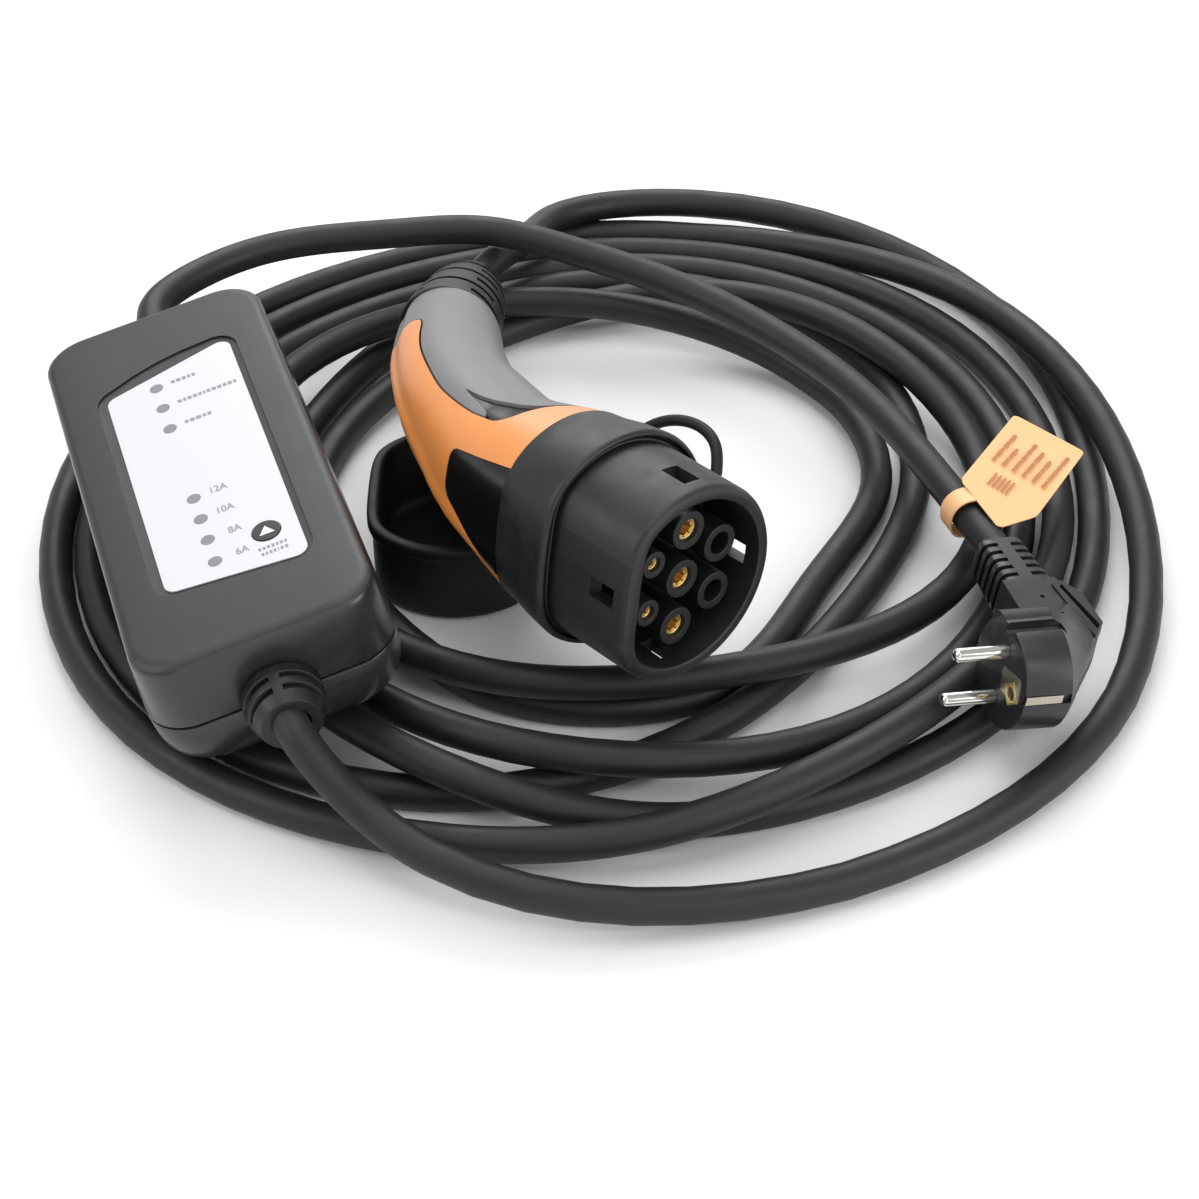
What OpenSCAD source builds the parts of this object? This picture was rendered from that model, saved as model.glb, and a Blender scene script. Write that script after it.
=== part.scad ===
// Charging cable for an electric car, with a control box in the cable, a seven-way
// connector for the car and an angled mains plug, laid in a loose coil

/* [Control box] */
// Width of the control box at its seam
box_w = 85; // [80:1:92]
// Length of the control box at its seam
box_l = 195; // [186:1:206]
// Height of the control box
box_h = 50; // [48:1:56]
// Corner radius of the control box seen from above
box_corner = 16; // [14:1:20]
// Wall thickness of both housings
box_wall = 2.5; // [2:0.1:3]
// Lean of the upper housing's walls, on each side
top_draft = 1.5; // [0.5:0.1:2.5]
// Height of the rounding along the top edge
top_round = 3; // [2:0.5:4]
// Inset of the flat bottom from the seam, on each side
foot_inset = 10; // [7:1:12]
// Width of the open seam between the housings
seam_gap = 0.6; // [0.4:0.1:0.8]

/* [Label panel] */
// Width of the recessed label panel
panel_w = 56; // [50:1:60]
// Length of the label panel along its middle
panel_l = 128; // [116:1:134]
// Slant of the panel's far end across its width
panel_slant = 11; // [6:1:14]
// Depth of the recess for the label
panel_depth = 0.8; // [0.6:0.1:1]
// Bare rim of the recess around the label
panel_rim = 3.5; // [2:0.5:5]
// Diameter of a status light
light_d = 4.6; // [3.6:0.2:5]
// Diameter of the setting button
button_d = 9.8; // [8:0.2:11]
// Travel of the setting button
button_travel = 0.5; // [0.3:0.1:0.6]

/* [Cables] */
// Outer diameter of the charging cable and the mains lead
cable_d = 12; // [11:0.5:12.5]
// Diameter of the tether of the cap
tether_d = 4; // [3:0.5:5]
// Diameter of a power core inside the jacket
core_d = 3.2; // [2.6:0.1:3.4]
// Largest diameter of a strain relief on the control box
gland_d = 27; // [25:1:30]
// Length of a strain relief outside the control box
gland_l = 15; // [13:1:18]

/* [Vehicle connector] */
// Outer radius of the nose shroud
nose_r = 33; // [32:0.5:34]
// Distance from the nose's axis to its flat side
nose_flat = 27.5; // [27:0.5:28.5]
// Wall thickness of the nose shroud
nose_wall = 4; // [3.5:0.1:4.4]
// Recess of the contact faces behind the nose's rim
nose_recess = 7; // [6:0.5:9]
// Spacing of the three power contacts
power_pitch = 17.5; // [17:0.1:17.8]
// Bore of a power contact
power_bore = 6; // [5.8:0.1:6.2]
// Bore of a signal contact
signal_bore = 3; // [2.8:0.1:3.2]
// Radius of the collar's front lip
collar_r = 43; // [41:0.5:45]
// Wall thickness of the handle's covers
handle_wall = 3; // [2.5:0.1:3.5]
// Width of the seam between the handle's covers
handle_gap = 0.3; // [0.2:0.05:0.5]
// Length of the bend protector behind the grip
boot_l = 36; // [30:1:40]

/* [Protective cap] */
// Outer radius of the cap
cap_r = 38; // [36:0.5:38.5]
// Distance from the cap's axis to its flat side
cap_flat = 32; // [30:0.5:33]
// Height of the cap
cap_h = 32.5; // [30:0.5:32.5]
// Wall thickness of the cap
cap_wall = 3; // [2:0.1:3.5]

/* [Mains plug] */
// Diameter of the plug's front
plug_d = 38; // [36:0.5:39]
// Depth of the plug's body
plug_depth = 38; // [35:1:40]
// Diameter of a plug pin
pin_d = 4.8; // [4.6:0.05:5]
// Length of a plug pin
pin_l = 19; // [18:0.5:20]
// Spacing of the plug pins
pin_pitch = 19; // [18.5:0.1:19.5]

/* [Tag] */
// Length of the tag
tag_l = 58; // [50:1:60]
// Width of the tag
tag_w = 29; // [25:1:30]
// Thickness of the tag and its strap
tag_t = 0.8; // [0.6:0.1:1]

/* [Hidden] */

// Facets of a true circle, of a rounded corner and of a tube
$fn = 64;
corner_fn = 28;
tube_sides = 10;
tether_sides = 8;
handle_sides = 28;

// Clearances: a push fit, a piece that slides, and a skin that only marks a plane
push = 0.05;
slip = 0.25;
skin = 0.01;
reach = 100;

// Where the coil's middle lies in the part's frame
coil_at = [81.1, -10.9, 0];

// Places of the pieces, measured from the coil's middle on the ground
box_at = [-130.6, 37.1, 19.2];
box_turn = [0, -12, -22];
connector_at = [-59, -116, 71];
connector_turn = [-4, 11.4, 0];
plug_at = [18, -187, 34];
plug_turn = [0, 8, -25];
cap_at = [-54.1, 9.8, 0];
cap_turn = 140;
cap_lip = 1.5;
cap_lip_h = 5;
tag_at = [78.8, -110.6, 40];
tag_turn = [25.5, 5.1, 19.2];
strap_at = [76.7, -117.5, 30.1];
strap_turn = -20.5;
strap_w = 8;
tag_cut = [14, 9];

// Control box: heights, the lights and button on the panel, the boards
seam_z = box_h / 2 - 0.5;
// Upper edge: share of the rounding down from the top, and in from the side
top_profile = [[1, 0], [0.4, 0.2], [0, 0.6]];
// Lower walls: share of the height, share of the foot's inset, cut in the corner radius
foot_profile = [[1, 0, 0], [0.5, 0.1, 1], [0.26, 0.4, 1], [0.08, 0.7, 2], [0, 1, 4]];
panel_floor = box_h - panel_depth;
roof_z = box_h - box_wall;
light_x = -5;
status_y = [48.6, 36, 23.2];
current_y = [-18.7, -30.4, -42, -53.8];
button_at = [13.9, -48.3];
button_proud = 0.3;
button_flange = 1.4;
button_flange_d = button_d + 3;
button_stem_d = 4;
screw_at = [box_w / 2 - 14, box_l / 2 - 17];
screw_d = 3.5;
screw_head_d = 6.6;
screw_head_h = 2.2;
screw_seat = 0.6;
screw_grip = 9;
boss_d = 9;
post_d = 6;
board_z = 14;
board_t = 1.6;
board_size = [58, 132];
post_at = [board_size[0] / 2 - 5, board_size[1] / 2 - 8];
display_z = roof_z - 7.5;
display_size = [42, 122];
display_x = 2;
display_post_y = 57;
switch_h = 3.4;
switch_w = 6;
stem_z = display_z + board_t + switch_h + button_travel + 2 * push;
relay_at = [-14, -20];
relay_size = [20, 28, 16];
supply_at = [13, 28];
supply_size = [24, 34, 18];
terminal_size = [34, 12, 14];
terminal_y = board_size[1] / 2 - 1;
transformer_at = [13, -20];
transformer_r = 11;
transformer_hole = 6.5;
transformer_h = 10;
capacitor_at = [-15, 26];
capacitor_d = 13;
capacitor_h = 20;

// Strain reliefs of the control box
gland_neck = 3.8;
gland_neck_d = gland_d - 9;
gland_flange = 2.2;
slot_w = 2;
slot_depth = 2;
slot_rows = [0.28, 0.58];
slot_span = 74;
jacket_in = 22;
core_count = 5;
core_ring = 3.6;
core_end_y = box_l / 2 + gland_l - jacket_in - slip;

// Connector: depths along its axis, counted back from the contact faces
tower_l = 20;
carrier_t = 10;
shroud_end = 48;
collar_front = 20;
collar_lip = 7;
collar_end = 57;
collar_rear_r = 35.5;
collar_rear_flat = 31;
groove_w = 5;
window = [6.5, 11];
window_y = 1.5;
flat_round = 6;
signal_x = -13.5;
spare_x = 15.2;
side_z = power_pitch / 2;
power_tower_d = 13.5;
signal_tower_d = 9.5;
contact_wall = 0.9;
contact_set = 1.5;
contact_l = 36;
bore_l = 24;

// Handle: points of its spine, with the radius there and the distance to the flat side
spine = [
    [0, collar_end, 34.5, 30.5], [0, 68, 32, 29], [0.5, 80, 29, 27.5], [2, 90, 27, 26.5],
    [5, 100, 26, 26], [11, 118, 24.5, 24.5], [17, 134, 23, 23], [25, 149, 22.2, 22.2],
    [34, 163, 21.4, 21.4], [46, 178, 20.2, 20.2], [58, 192, 18.4, 18.4],
    [67, 200, 17, 17], [76, 207, 15.6, 15.6],
];
handle_end = [0.773, 0.635, 0];
boot_at = [76, 207, 0];
boot_turn = 39.4;
boot_turn_in = 90 - boot_turn;
// Line where the grip meets the cover, then out around the far side of the grip
grip_edge = [
    [0.5, 96.3], [-2.3, 100], [-1.6, 114], [0, 128], [6.6, 146], [13.5, 157], [24, 168],
    [36, 184], [46, 202], [52, 240], [150, 240], [150, 60], [35, 60], [32.2, 85],
    [30.7, 92.3], [26.2, 97.6], [20, 99.5], [8.3, 98.4],
];
panel_t = 1;
panel_y = [58, 90];
panel_z = [-13, 20];
boot_base_r = 15;
boot_tip_r = 9.2;
boot_plug_l = 8;
boot_slot_rows = 6;
boot_slot_w = 1.5;
boot_slot_span = 110;
clamp_y = 14;
clamp_l = 9;
clamp_r = 12.6;
clamp_screw_x = 8.9;
clamp_screw_d = 3;
clamp_head_d = 5.4;
clamp_head_y = 6;
clamp_head_h = 2;

// Mains plug
neck_x = 26;
neck_tip_y = 62;
neck_base_y = 16;
neck_d = 19;
neck_tip_d = 15;
rib_count = 5;
earth_y = -10;
earth_bore_d = 4.8;
clip_w = 6;
clip_t = 1.2;
clip_l = plug_depth * 0.45;
clip_groove_t = 1.6;
side_groove = 5.2;
pin_root = 11;
pin_root_d = pin_d - 0.8;
pin_neck = 0.3;
pin_tip = pin_d / 4;
earth_wall = 1;
earth_l = 22;
earth_bore_l = 20;
earth_flange_w = 7.2;
earth_flange_t = 0.6;

// Route of the charging cable. It leaves the load gland, then turns about the coil's
// middle: each row is one turn, with its distance from the middle and its height at
// ten even directions, and it ends at the bend protector of the handle
first_direction = 216;
directions = 10;
gland_run = [[-169.2, -44.9, 43.2], [-178.8, -68.5, 43.2], [-175.5, -86, 30]];
turn_radii = [
    [205, 213, 213, 199, 196, 191, 184, 192, 197, 198],
    [188, 178, 171, 177, 185, 177, 171, 176, 184, 183],
    [162, 129, 113, 124, 143, 151, 139, 120, 117, 113],
    [118, 121, 140, 149, 141, 137, 114, 104, 103, 100],
    [114, 115, 96, 109, 118, 112, 121, 134, 137, 131],
    [149, 158, 158, 162, 167, 164, 155, 158, 158, 149],
    [168, 176, 184, 191, 212, 203],
];
turn_heights = [
    [19, 6, 6, 18.5, 17, 6, 6, 6, 6, 6],
    [9, 18.5, 15, 6, 6, 6, 6, 6, 6, 6],
    [6, 6, 6, 6, 6, 6, 6, 6, 6, 10.5],
    [18, 18.5, 15, 10, 18.5, 11, 6, 6, 6, 6],
    [6, 6, 6, 6, 6, 17, 19, 18, 6, 7],
    [19, 14, 6, 6, 6, 6, 6, 6, 6, 12],
    [18.5, 6, 6, 6, 6, 15.5],
];
// Where two turns cross between those directions: turn, direction, distance, height
crossing = [[1, 234, 186, 15], [6, 234, 173, 9]];
boot_run = [
    [104, 146, 19.5], [80, 134, 25], [58, 123, 31], [40.1, 113.7, 34.6], [-4.6, 75.9, 46.3],
];
boot_heading = [0.749, 0.633, -0.196];
box_heading = [0.375, 0.927, 0];

// Routes of the mains lead and of the tether
lead_run = [
    [-101.4, 122.9, 43.2], [-93.2, 143.3, 43.2], [-83, 163, 43.5], [-60, 173, 43.5],
    [-20, 170, 44], [21, 146, 45], [50, 123, 45.5], [71, 95, 41], [92, 56, 35],
    [103, 8, 30.5], [100, -42, 30], [85, -95, 30], [67.6, -141.6, 30.4],
];
plug_heading = [0.423, 0.906, 0];
tether_run = [
    [-17, -86, 75], [-10.5, -78, 80], [-9, -66, 81], [-13, -54, 77], [-20, -43, 64],
    [-25, -35, 47], [-28, -29, 34], [-32, -22.5, 30.5],
];

// Sweeps

function unit(v) = v / norm(v);

// Headings of a route at its points, with the first and the last one given
function headings(route, first, last) = [
    for (i = [0 : len(route) - 1])
        i == 0 ? unit(first)
        : i == len(route) - 1 ? unit(last)
        : unit(unit(route[i] - route[i - 1]) + unit(route[i + 1] - route[i]))
];

// Ring of points square to a heading, cut off at a flat on its left side
function ring(at, heading, radius, flat, sides) =
    let (side = unit(cross([0, 0, 1], heading)), up = cross(heading, side))
    [
        for (k = [0 : sides - 1])
            let (a = 360 * k / sides)
            at + side * min(flat, radius * cos(a)) + up * radius * sin(a)
    ];

function middle(points) = [for (axis = [0 : 2]) sum_of(points, axis) / len(points)];

function sum_of(points, axis) = [for (p = points) p[axis]] * [for (p = points) 1];

// Skin over a row of rings, closed at both ends by a fan about the ring's middle
module loft(rings) {
    n = len(rings);
    s = len(rings[0]);
    last = (n - 1) * s;
    front_middle = n * s;
    back_middle = n * s + 1;
    sides = [
        for (i = [0 : n - 2], k = [0 : s - 1])
            let (a = i * s + k, b = i * s + (k + 1) % s)
            each [[a, a + s, b], [b, a + s, b + s]]
    ];
    front = [for (k = [0 : s - 1]) [front_middle, k, (k + 1) % s]];
    back = [for (k = [0 : s - 1]) [back_middle, last + (k + 1) % s, last + k]];
    polyhedron(
        concat([for (r = rings) each r], [middle(rings[0]), middle(rings[n - 1])]),
        concat(front, sides, back)
    );
}

module tube(route, d, sides, first, last) {
    dirs = headings(route, first, last);
    loft([for (i = [0 : len(route) - 1]) ring(route[i], dirs[i], d / 2, d, sides)]);
}

function polar(angle, radius, height) = [radius * cos(angle), radius * sin(angle), height];

function coil_route() = concat(
    gland_run,
    [
        for (turn = [0 : len(turn_radii) - 1], i = [0 : len(turn_radii[turn]) - 1])
            let (a = first_direction + i * 360 / directions)
            each concat(
                [polar(a, turn_radii[turn][i], turn_heights[turn][i])],
                [for (c = crossing) if (c[0] == turn && i == 0) polar(c[1], c[2], c[3])]
            )
    ],
    boot_run
);

// Places

module in_frame() translate(coil_at) children();

module at_box() in_frame() translate(box_at) rotate(box_turn) children();

module at_connector() in_frame() translate(connector_at) rotate(connector_turn) children();

module at_plug() in_frame() translate(plug_at) rotate(plug_turn) children();

// From one depth to another behind the contact faces, across a drawn outline
module along_y(from, to) translate([0, to, 0]) rotate([90, 0, 0]) linear_extrude(to - from) children();

// The same for a cylinder at a place on the contact faces
module rod_y(at, d, from, to)
    translate([at[0], to, at[1]]) rotate([90, 0, 0]) cylinder(d = d, h = to - from);

// Outlines

module rounded(w, l, r) {
    offset(r, $fn = corner_fn) square([w - 2 * r, l - 2 * r], center = true);
}

// Thin plate of a rounded outline at a height, to be joined to others
module plate(w, l, r, z) translate([0, 0, z]) linear_extrude(skin) rounded(w, l, r);

// Round outline with one flat side towards -X
module d_outline(r, flat, round_r) {
    offset(round_r, $fn = corner_fn) offset(delta = -round_r) intersection() {
        circle(r);
        translate([-flat, -r]) square([flat + r, 2 * r]);
    }
}

// The same with sharp corners, which keeps its true curve
module sharp_d(r, flat) {
    intersection() {
        circle(r);
        translate([-flat, -r]) square([flat + r, 2 * r]);
    }
}

module panel_outline(inset) {
    w = panel_w / 2;
    l = panel_l / 2;
    s = panel_slant / 2;
    offset(4, $fn = corner_fn) offset(delta = -4 - inset)
        polygon([[-w, -l + s / 2], [w, -l - s / 2], [w, l + s], [-w, l - s]]);
}

module at_each_screw() {
    for (x = [-1, 1], y = [-1, 1])
        translate([x * screw_at[0], y * screw_at[1], 0]) children();
}

// Control box

module upper_body(inset, top) {
    w = box_w - 2 * inset;
    l = box_l - 2 * inset;
    r = box_corner - inset;
    hull() {
        plate(w, l, r, seam_z + seam_gap / 2);
        for (p = top_profile) {
            in = 2 * (top_draft + top_round * p[1]);
            plate(w - in, l - in, r, top - skin - top_round * p[0]);
        }
    }
}

module lower_body(inset, bottom) {
    w = box_w - 2 * inset;
    l = box_l - 2 * inset;
    r = box_corner - inset;
    top = seam_z - seam_gap / 2;
    hull() for (p = foot_profile) {
        in = 2 * foot_inset * p[1];
        plate(w - in, l - in, r - p[2], bottom + (top - skin - bottom) * p[0]);
    }
}

// Holes through the end walls for the necks of the strain reliefs
module gland_holes() {
    for (side = [-1, 1])
        translate([0, side * (box_l / 2 - gland_neck), seam_z]) rotate([-side * 90, 0, 0])
            translate([0, 0, -gland_neck]) cylinder(d = gland_neck_d + slip, h = 3 * gland_neck);
}

module upper_housing() color("#26272a") at_box() difference() {
    union() {
        difference() {
            upper_body(0, box_h);
            translate([0, 0, -skin * 2]) upper_body(box_wall, roof_z);
        }
        at_each_screw() translate([0, 0, seam_z + seam_gap / 2]) cylinder(d = boss_d, h = roof_z - seam_z);
        for (y = [-display_post_y, display_post_y])
            translate([0, y, display_z + board_t])
                cylinder(d = post_d, h = roof_z - display_z - board_t + 0.5);
    }
    translate([0, 0, panel_floor]) linear_extrude(box_h) panel_outline(0);
    at_each_screw() translate([0, 0, seam_z - 1]) cylinder(d = screw_d + 2 * push, h = screw_grip + 3);
    for (y = concat(status_y, current_y))
        translate([light_x, y, roof_z - 1]) cylinder(d = light_d + slip, h = box_wall + 2);
    translate([button_at[0], button_at[1], roof_z - 1]) cylinder(d = button_d + 2 * slip, h = box_wall + 2);
    gland_holes();
}

module lower_housing() color("#222326") at_box() difference() {
    union() {
        difference() {
            lower_body(0, 0);
            translate([0, 0, skin * 2]) lower_body(box_wall, box_wall);
        }
        at_each_screw() translate([0, 0, 1]) cylinder(d = boss_d, h = seam_z - seam_gap / 2 - 1);
        for (x = [-1, 1], y = [-1, 1])
            translate([x * post_at[0], y * post_at[1], 1]) cylinder(d = post_d, h = board_z - 1);
    }
    at_each_screw() translate([0, 0, -1]) {
        cylinder(d = screw_d + 2 * slip, h = box_h);
        cylinder(d = screw_head_d + 2 * slip, h = 1 + screw_seat + screw_head_h);
    }
    gland_holes();
}

// Runs in the open seam, a little inside the outer faces
module housing_seal() color("#161616") at_box() difference() {
    translate([0, 0, seam_z - seam_gap / 2 + push]) linear_extrude(seam_gap - 2 * push) difference() {
        rounded(box_w - 1.6, box_l - 1.6, box_corner - 0.8);
        rounded(box_w - 1.8 * box_wall, box_l - 1.8 * box_wall, box_corner - 0.9 * box_wall);
    }
    gland_holes();
}

module housing_screws() color("#b9bcc0") at_box() at_each_screw() {
    translate([0, 0, screw_seat]) cylinder(d = screw_head_d, h = screw_head_h);
    translate([0, 0, screw_seat]) cylinder(d = screw_d, h = seam_z + screw_grip - screw_seat);
}

module label_overlay() color("#f3f3f1") at_box() translate([0, 0, panel_floor]) linear_extrude(0.5)
    difference() {
        panel_outline(panel_rim);
        translate(button_at) circle(d = button_d + 2 * slip);
    }

module setting_button() color("#1c1c1e") at_box() translate([button_at[0], button_at[1], 0]) {
    translate([0, 0, roof_z - slip - button_flange / 2])
        cylinder(d = button_d, h = box_wall + slip + button_flange / 2 + button_proud);
    translate([0, 0, roof_z - slip - button_flange]) cylinder(d = button_flange_d, h = button_flange);
    translate([0, 0, stem_z]) cylinder(d = button_stem_d, h = roof_z - slip - button_flange / 2 - stem_z);
}

module setting_switch() color("#3a3a3c") at_box()
    translate([button_at[0], button_at[1], display_z + board_t]) {
        translate([-switch_w / 2, -switch_w / 2, 0]) cube([switch_w, switch_w, switch_h * 0.8]);
        cylinder(d = switch_w * 0.55, h = switch_h);
    }

module status_lights() color("#9a9a9a") at_box() {
    for (y = concat(status_y, current_y))
        translate([light_x, y, display_z + board_t])
            cylinder(d = light_d, h = panel_floor - display_z - board_t);
}

module board(size, x, z) {
    translate([x, 0, z]) linear_extrude(board_t) square(size, center = true);
}

module display_board() color("#1f5a3a") at_box() board(display_size, display_x, display_z);

module control_board() color("#1f5a3a") at_box() board(board_size, 0, board_z);

// Box-shaped part that stands on the control board
module on_board(at, size) {
    translate([at[0], at[1], board_z + board_t]) linear_extrude(size[2])
        square([size[0], size[1]], center = true);
}

module power_relay() color("#2b4f8c") at_box() on_board(relay_at, relay_size);

module power_supply() color("#303236") at_box() on_board(supply_at, supply_size);

module smoothing_capacitor() color("#2a2a6a") at_box()
    translate([capacitor_at[0], capacitor_at[1], board_z + board_t])
        cylinder(d = capacitor_d, h = capacitor_h);

module current_transformer() color("#c8a23c") at_box()
    translate([transformer_at[0], transformer_at[1], board_z + board_t]) difference() {
        cylinder(r = transformer_r, h = transformer_h);
        translate([0, 0, -1]) cylinder(r = transformer_hole, h = transformer_h + 2);
    }

module terminals(side) {
    on_board([0, side * (terminal_y - terminal_size[1] / 2)], terminal_size);
}

module mains_terminals() color("#3f7f4f") at_box() terminals(1);

module load_terminals() color("#3f7f4f") at_box() terminals(-1);

// Strain relief along +Z, with its outer face at gland_l and its flange inside the wall
module gland() {
    r = gland_d / 2;
    difference() {
        rotate_extrude() polygon([
            [cable_d / 2 + slip, -gland_neck - gland_flange], [r - 2.5, -gland_neck - gland_flange],
            [r - 2.5, -gland_neck], [gland_neck_d / 2, -gland_neck], [gland_neck_d / 2, 0.2],
            [r, 0.2], [r, gland_l * 0.25], [r - 0.8, gland_l * 0.55], [r - 2.2, gland_l * 0.82],
            [r - 3.6, gland_l], [cable_d / 2 + slip, gland_l],
        ]);
        for (row = [0, 1], quarter = [0 : 3])
            translate([0, 0, gland_l * slot_rows[row]]) rotate(quarter * 90 + 45 - slot_span / 2)
                rotate_extrude(angle = slot_span) translate([r - slot_depth - row, 0]) square([6, slot_w]);
    }
}

module at_gland(side) {
    translate([0, side * box_l / 2, seam_z]) rotate([-side * 90, 0, 0]) children();
}

// Direction of a core from the middle of its cable
function core_angle(k) = 360 / core_count * k + 18;

// Five cores from a strain relief to the terminals
module cores(side) {
    for (k = [0 : core_count - 1])
        let (a = core_angle(k))
        translate([core_ring * cos(a), side * terminal_y, seam_z + core_ring * sin(a)])
            rotate([-side * 90, 0, 0]) cylinder(d = core_d, h = core_end_y - terminal_y);
}

module mains_gland() color("#2b2b2d") at_box() at_gland(1) gland();

module load_gland() color("#2b2b2d") at_box() at_gland(-1) gland();

module mains_cores() color("#8a5a2b") at_box() cores(1);

module load_cores() color("#8a5a2b") at_box() cores(-1);

// Cables

module charging_cable() color("#303132") in_frame()
    tube(coil_route(), cable_d, tube_sides, -box_heading, -boot_heading);

module mains_lead() color("#303132") in_frame()
    tube(lead_run, cable_d, tube_sides, box_heading, -plug_heading);

module cap_tether() color("#1d1d1d") in_frame()
    tube(tether_run, tether_d, tether_sides, [1, 0.4, 0.3], [-0.5, 0.8, -0.2]);

// Vehicle connector

module nose_shroud() color("#333436") at_connector() difference() {
    along_y(-nose_recess, shroud_end) d_outline(nose_r, nose_flat, flat_round);
    along_y(-nose_recess - 1, shroud_end + 1)
        d_outline(nose_r - nose_wall, nose_flat - nose_wall, flat_round - nose_wall / 2);
    for (turn = [0 : 90 : 270])
        rotate([0, turn, 0]) translate([nose_flat - nose_wall - 2, window_y, -window[0] / 2])
            cube([nose_wall * 3, window[1], window[0]]);
}

module contact_hole(at, d) {
    rod_y(at, d, -1, tower_l + carrier_t + 1);
}

module contact_carrier() color("#1b1b1c") at_connector() difference() {
    union() {
        along_y(tower_l, tower_l + carrier_t)
            sharp_d(nose_r - nose_wall - slip, nose_flat - nose_wall - slip);
        for (z = [-1, 0, 1]) rod_y([0, z * power_pitch], power_tower_d, 0, tower_l + 1);
        for (z = [-1, 1]) rod_y([spare_x, z * side_z], power_tower_d, 0, tower_l + 1);
        for (z = [-1, 1]) rod_y([signal_x, z * side_z], signal_tower_d, 0, tower_l + 1);
    }
    for (z = [-1, 0, 1]) contact_hole([0, z * power_pitch], power_bore + 2 * contact_wall + 2 * push);
    for (z = [-1, 1]) contact_hole([signal_x, z * side_z], signal_bore + 2 * contact_wall + 2 * push);
    for (z = [-1, 1]) rod_y([spare_x, z * side_z], power_bore + 2 * contact_wall, -1, tower_l - 2);
}

// Socket contact with a blind bore that is open at the front
module contact(at, bore) color("#c9a24a") at_connector() difference() {
    rod_y(at, bore + 2 * contact_wall, contact_set, contact_l);
    rod_y(at, bore, contact_set - 1, contact_set + bore_l);
}

module phase_contact() contact([0, power_pitch], power_bore);

module earth_contact() contact([0, 0], power_bore);

module neutral_contact() contact([0, -power_pitch], power_bore);

module pilot_contact() contact([signal_x, side_z], signal_bore);

module proximity_contact() contact([signal_x, -side_z], signal_bore);

module collar() color("#2e2f31") at_connector() difference() {
    hull() {
        along_y(collar_front, collar_front + collar_lip)
            d_outline(collar_r, collar_r - 8, flat_round, $fn = 48);
        along_y(collar_end - 2, collar_end) d_outline(collar_rear_r, collar_rear_flat, flat_round, $fn = 48);
    }
    along_y(collar_front - 1, collar_front + groove_w)
        d_outline(nose_r + groove_w, nose_flat + groove_w, flat_round);
    along_y(collar_front - 1, shroud_end + slip)
        d_outline(nose_r + slip, nose_flat + slip, flat_round);
    along_y(shroud_end - 1, collar_end + 1)
        d_outline(nose_r - nose_wall, nose_flat - nose_wall, flat_round - nose_wall / 2);
}

// Solid of the whole handle, shrunk all round and lengthened at both ends
module handle_body(inset, over) {
    last = len(spine) - 1;
    stretch = [
        for (i = [0 : last])
            [spine[i][0], spine[i][1], 0]
            + (i == 0 ? [0, -over, 0] : i == last ? over * handle_end : [0, 0, 0])
    ];
    dirs = headings(stretch, [0, 1, 0], handle_end);
    loft([
        for (i = [0 : last])
            ring(stretch[i], dirs[i], spine[i][2] - inset, spine[i][3] - inset, handle_sides)
    ]);
}

module handle_shell() {
    difference() {
        handle_body(0, 0);
        handle_body(handle_wall, 1);
    }
}

module grip_region(shrink) {
    translate([0, 0, -reach / 2]) linear_extrude(reach) offset(delta = -shrink) polygon(grip_edge);
}

module panel_block(grow) {
    translate([-reach, panel_y[0] - grow, panel_z[0] - grow])
        cube([reach, panel_y[1] - panel_y[0] + 2 * grow, panel_z[1] - panel_z[0] + 2 * grow]);
}

module handle_cover() color("#f08a3c") at_connector() difference() {
    handle_shell();
    grip_region(0);
    difference() {
        panel_block(slip);
        handle_body(panel_t + push, 1);
    }
}

module grip_shell() color("#8f9092") at_connector() intersection() {
    handle_shell();
    grip_region(handle_gap);
}

module side_panel() color("#141415") at_connector() intersection() {
    difference() {
        handle_body(0, 0);
        handle_body(panel_t, 1);
    }
    panel_block(0);
}

// Pieces that lie on the line of the bend protector, with +X along the cable
module at_boot() at_connector() translate(boot_at) rotate(boot_turn) rotate([0, 90, 0]) children();

module cable_boot() color("#2c2d2f") at_boot() difference() {
    rotate_extrude() polygon([
        [cable_d / 2 + slip, -boot_plug_l], [boot_base_r - handle_wall - 0.4, -boot_plug_l],
        [boot_base_r - handle_wall - 0.4, slip], [boot_base_r, slip], [boot_base_r - 0.4, boot_l * 0.2],
        [boot_base_r - 2, boot_l * 0.5], [boot_tip_r + 1.4, boot_l * 0.85], [boot_tip_r, boot_l],
        [cable_d / 2 + slip, boot_l],
    ]);
    for (row = [0 : boot_slot_rows - 1], half = [0, 1])
        translate([0, 0, boot_l * (0.12 + 0.78 * row / boot_slot_rows)])
            rotate(half * 180 + (row % 2) * 90 + 90 - boot_slot_span / 2)
                rotate_extrude(angle = boot_slot_span)
                    translate([boot_base_r - slot_depth - 0.25 - 0.75 * row, 0]) square([8, boot_slot_w]);
}

module cable_clamp() color("#4a4b4d") at_boot() translate([0, 0, -clamp_y - clamp_l]) difference() {
    cylinder(r = clamp_r, h = clamp_l);
    translate([0, 0, -1]) cylinder(d = cable_d + 2 * slip, h = clamp_l + 2);
    for (side = [-1, 1]) translate([side * clamp_screw_x, 0, clamp_l / 2]) rotate([90, 0, 0]) {
        cylinder(d = clamp_screw_d + 2 * push, h = reach, center = true);
        translate([0, 0, clamp_head_y]) cylinder(d = clamp_head_d + 2 * slip, h = reach);
    }
}

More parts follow.
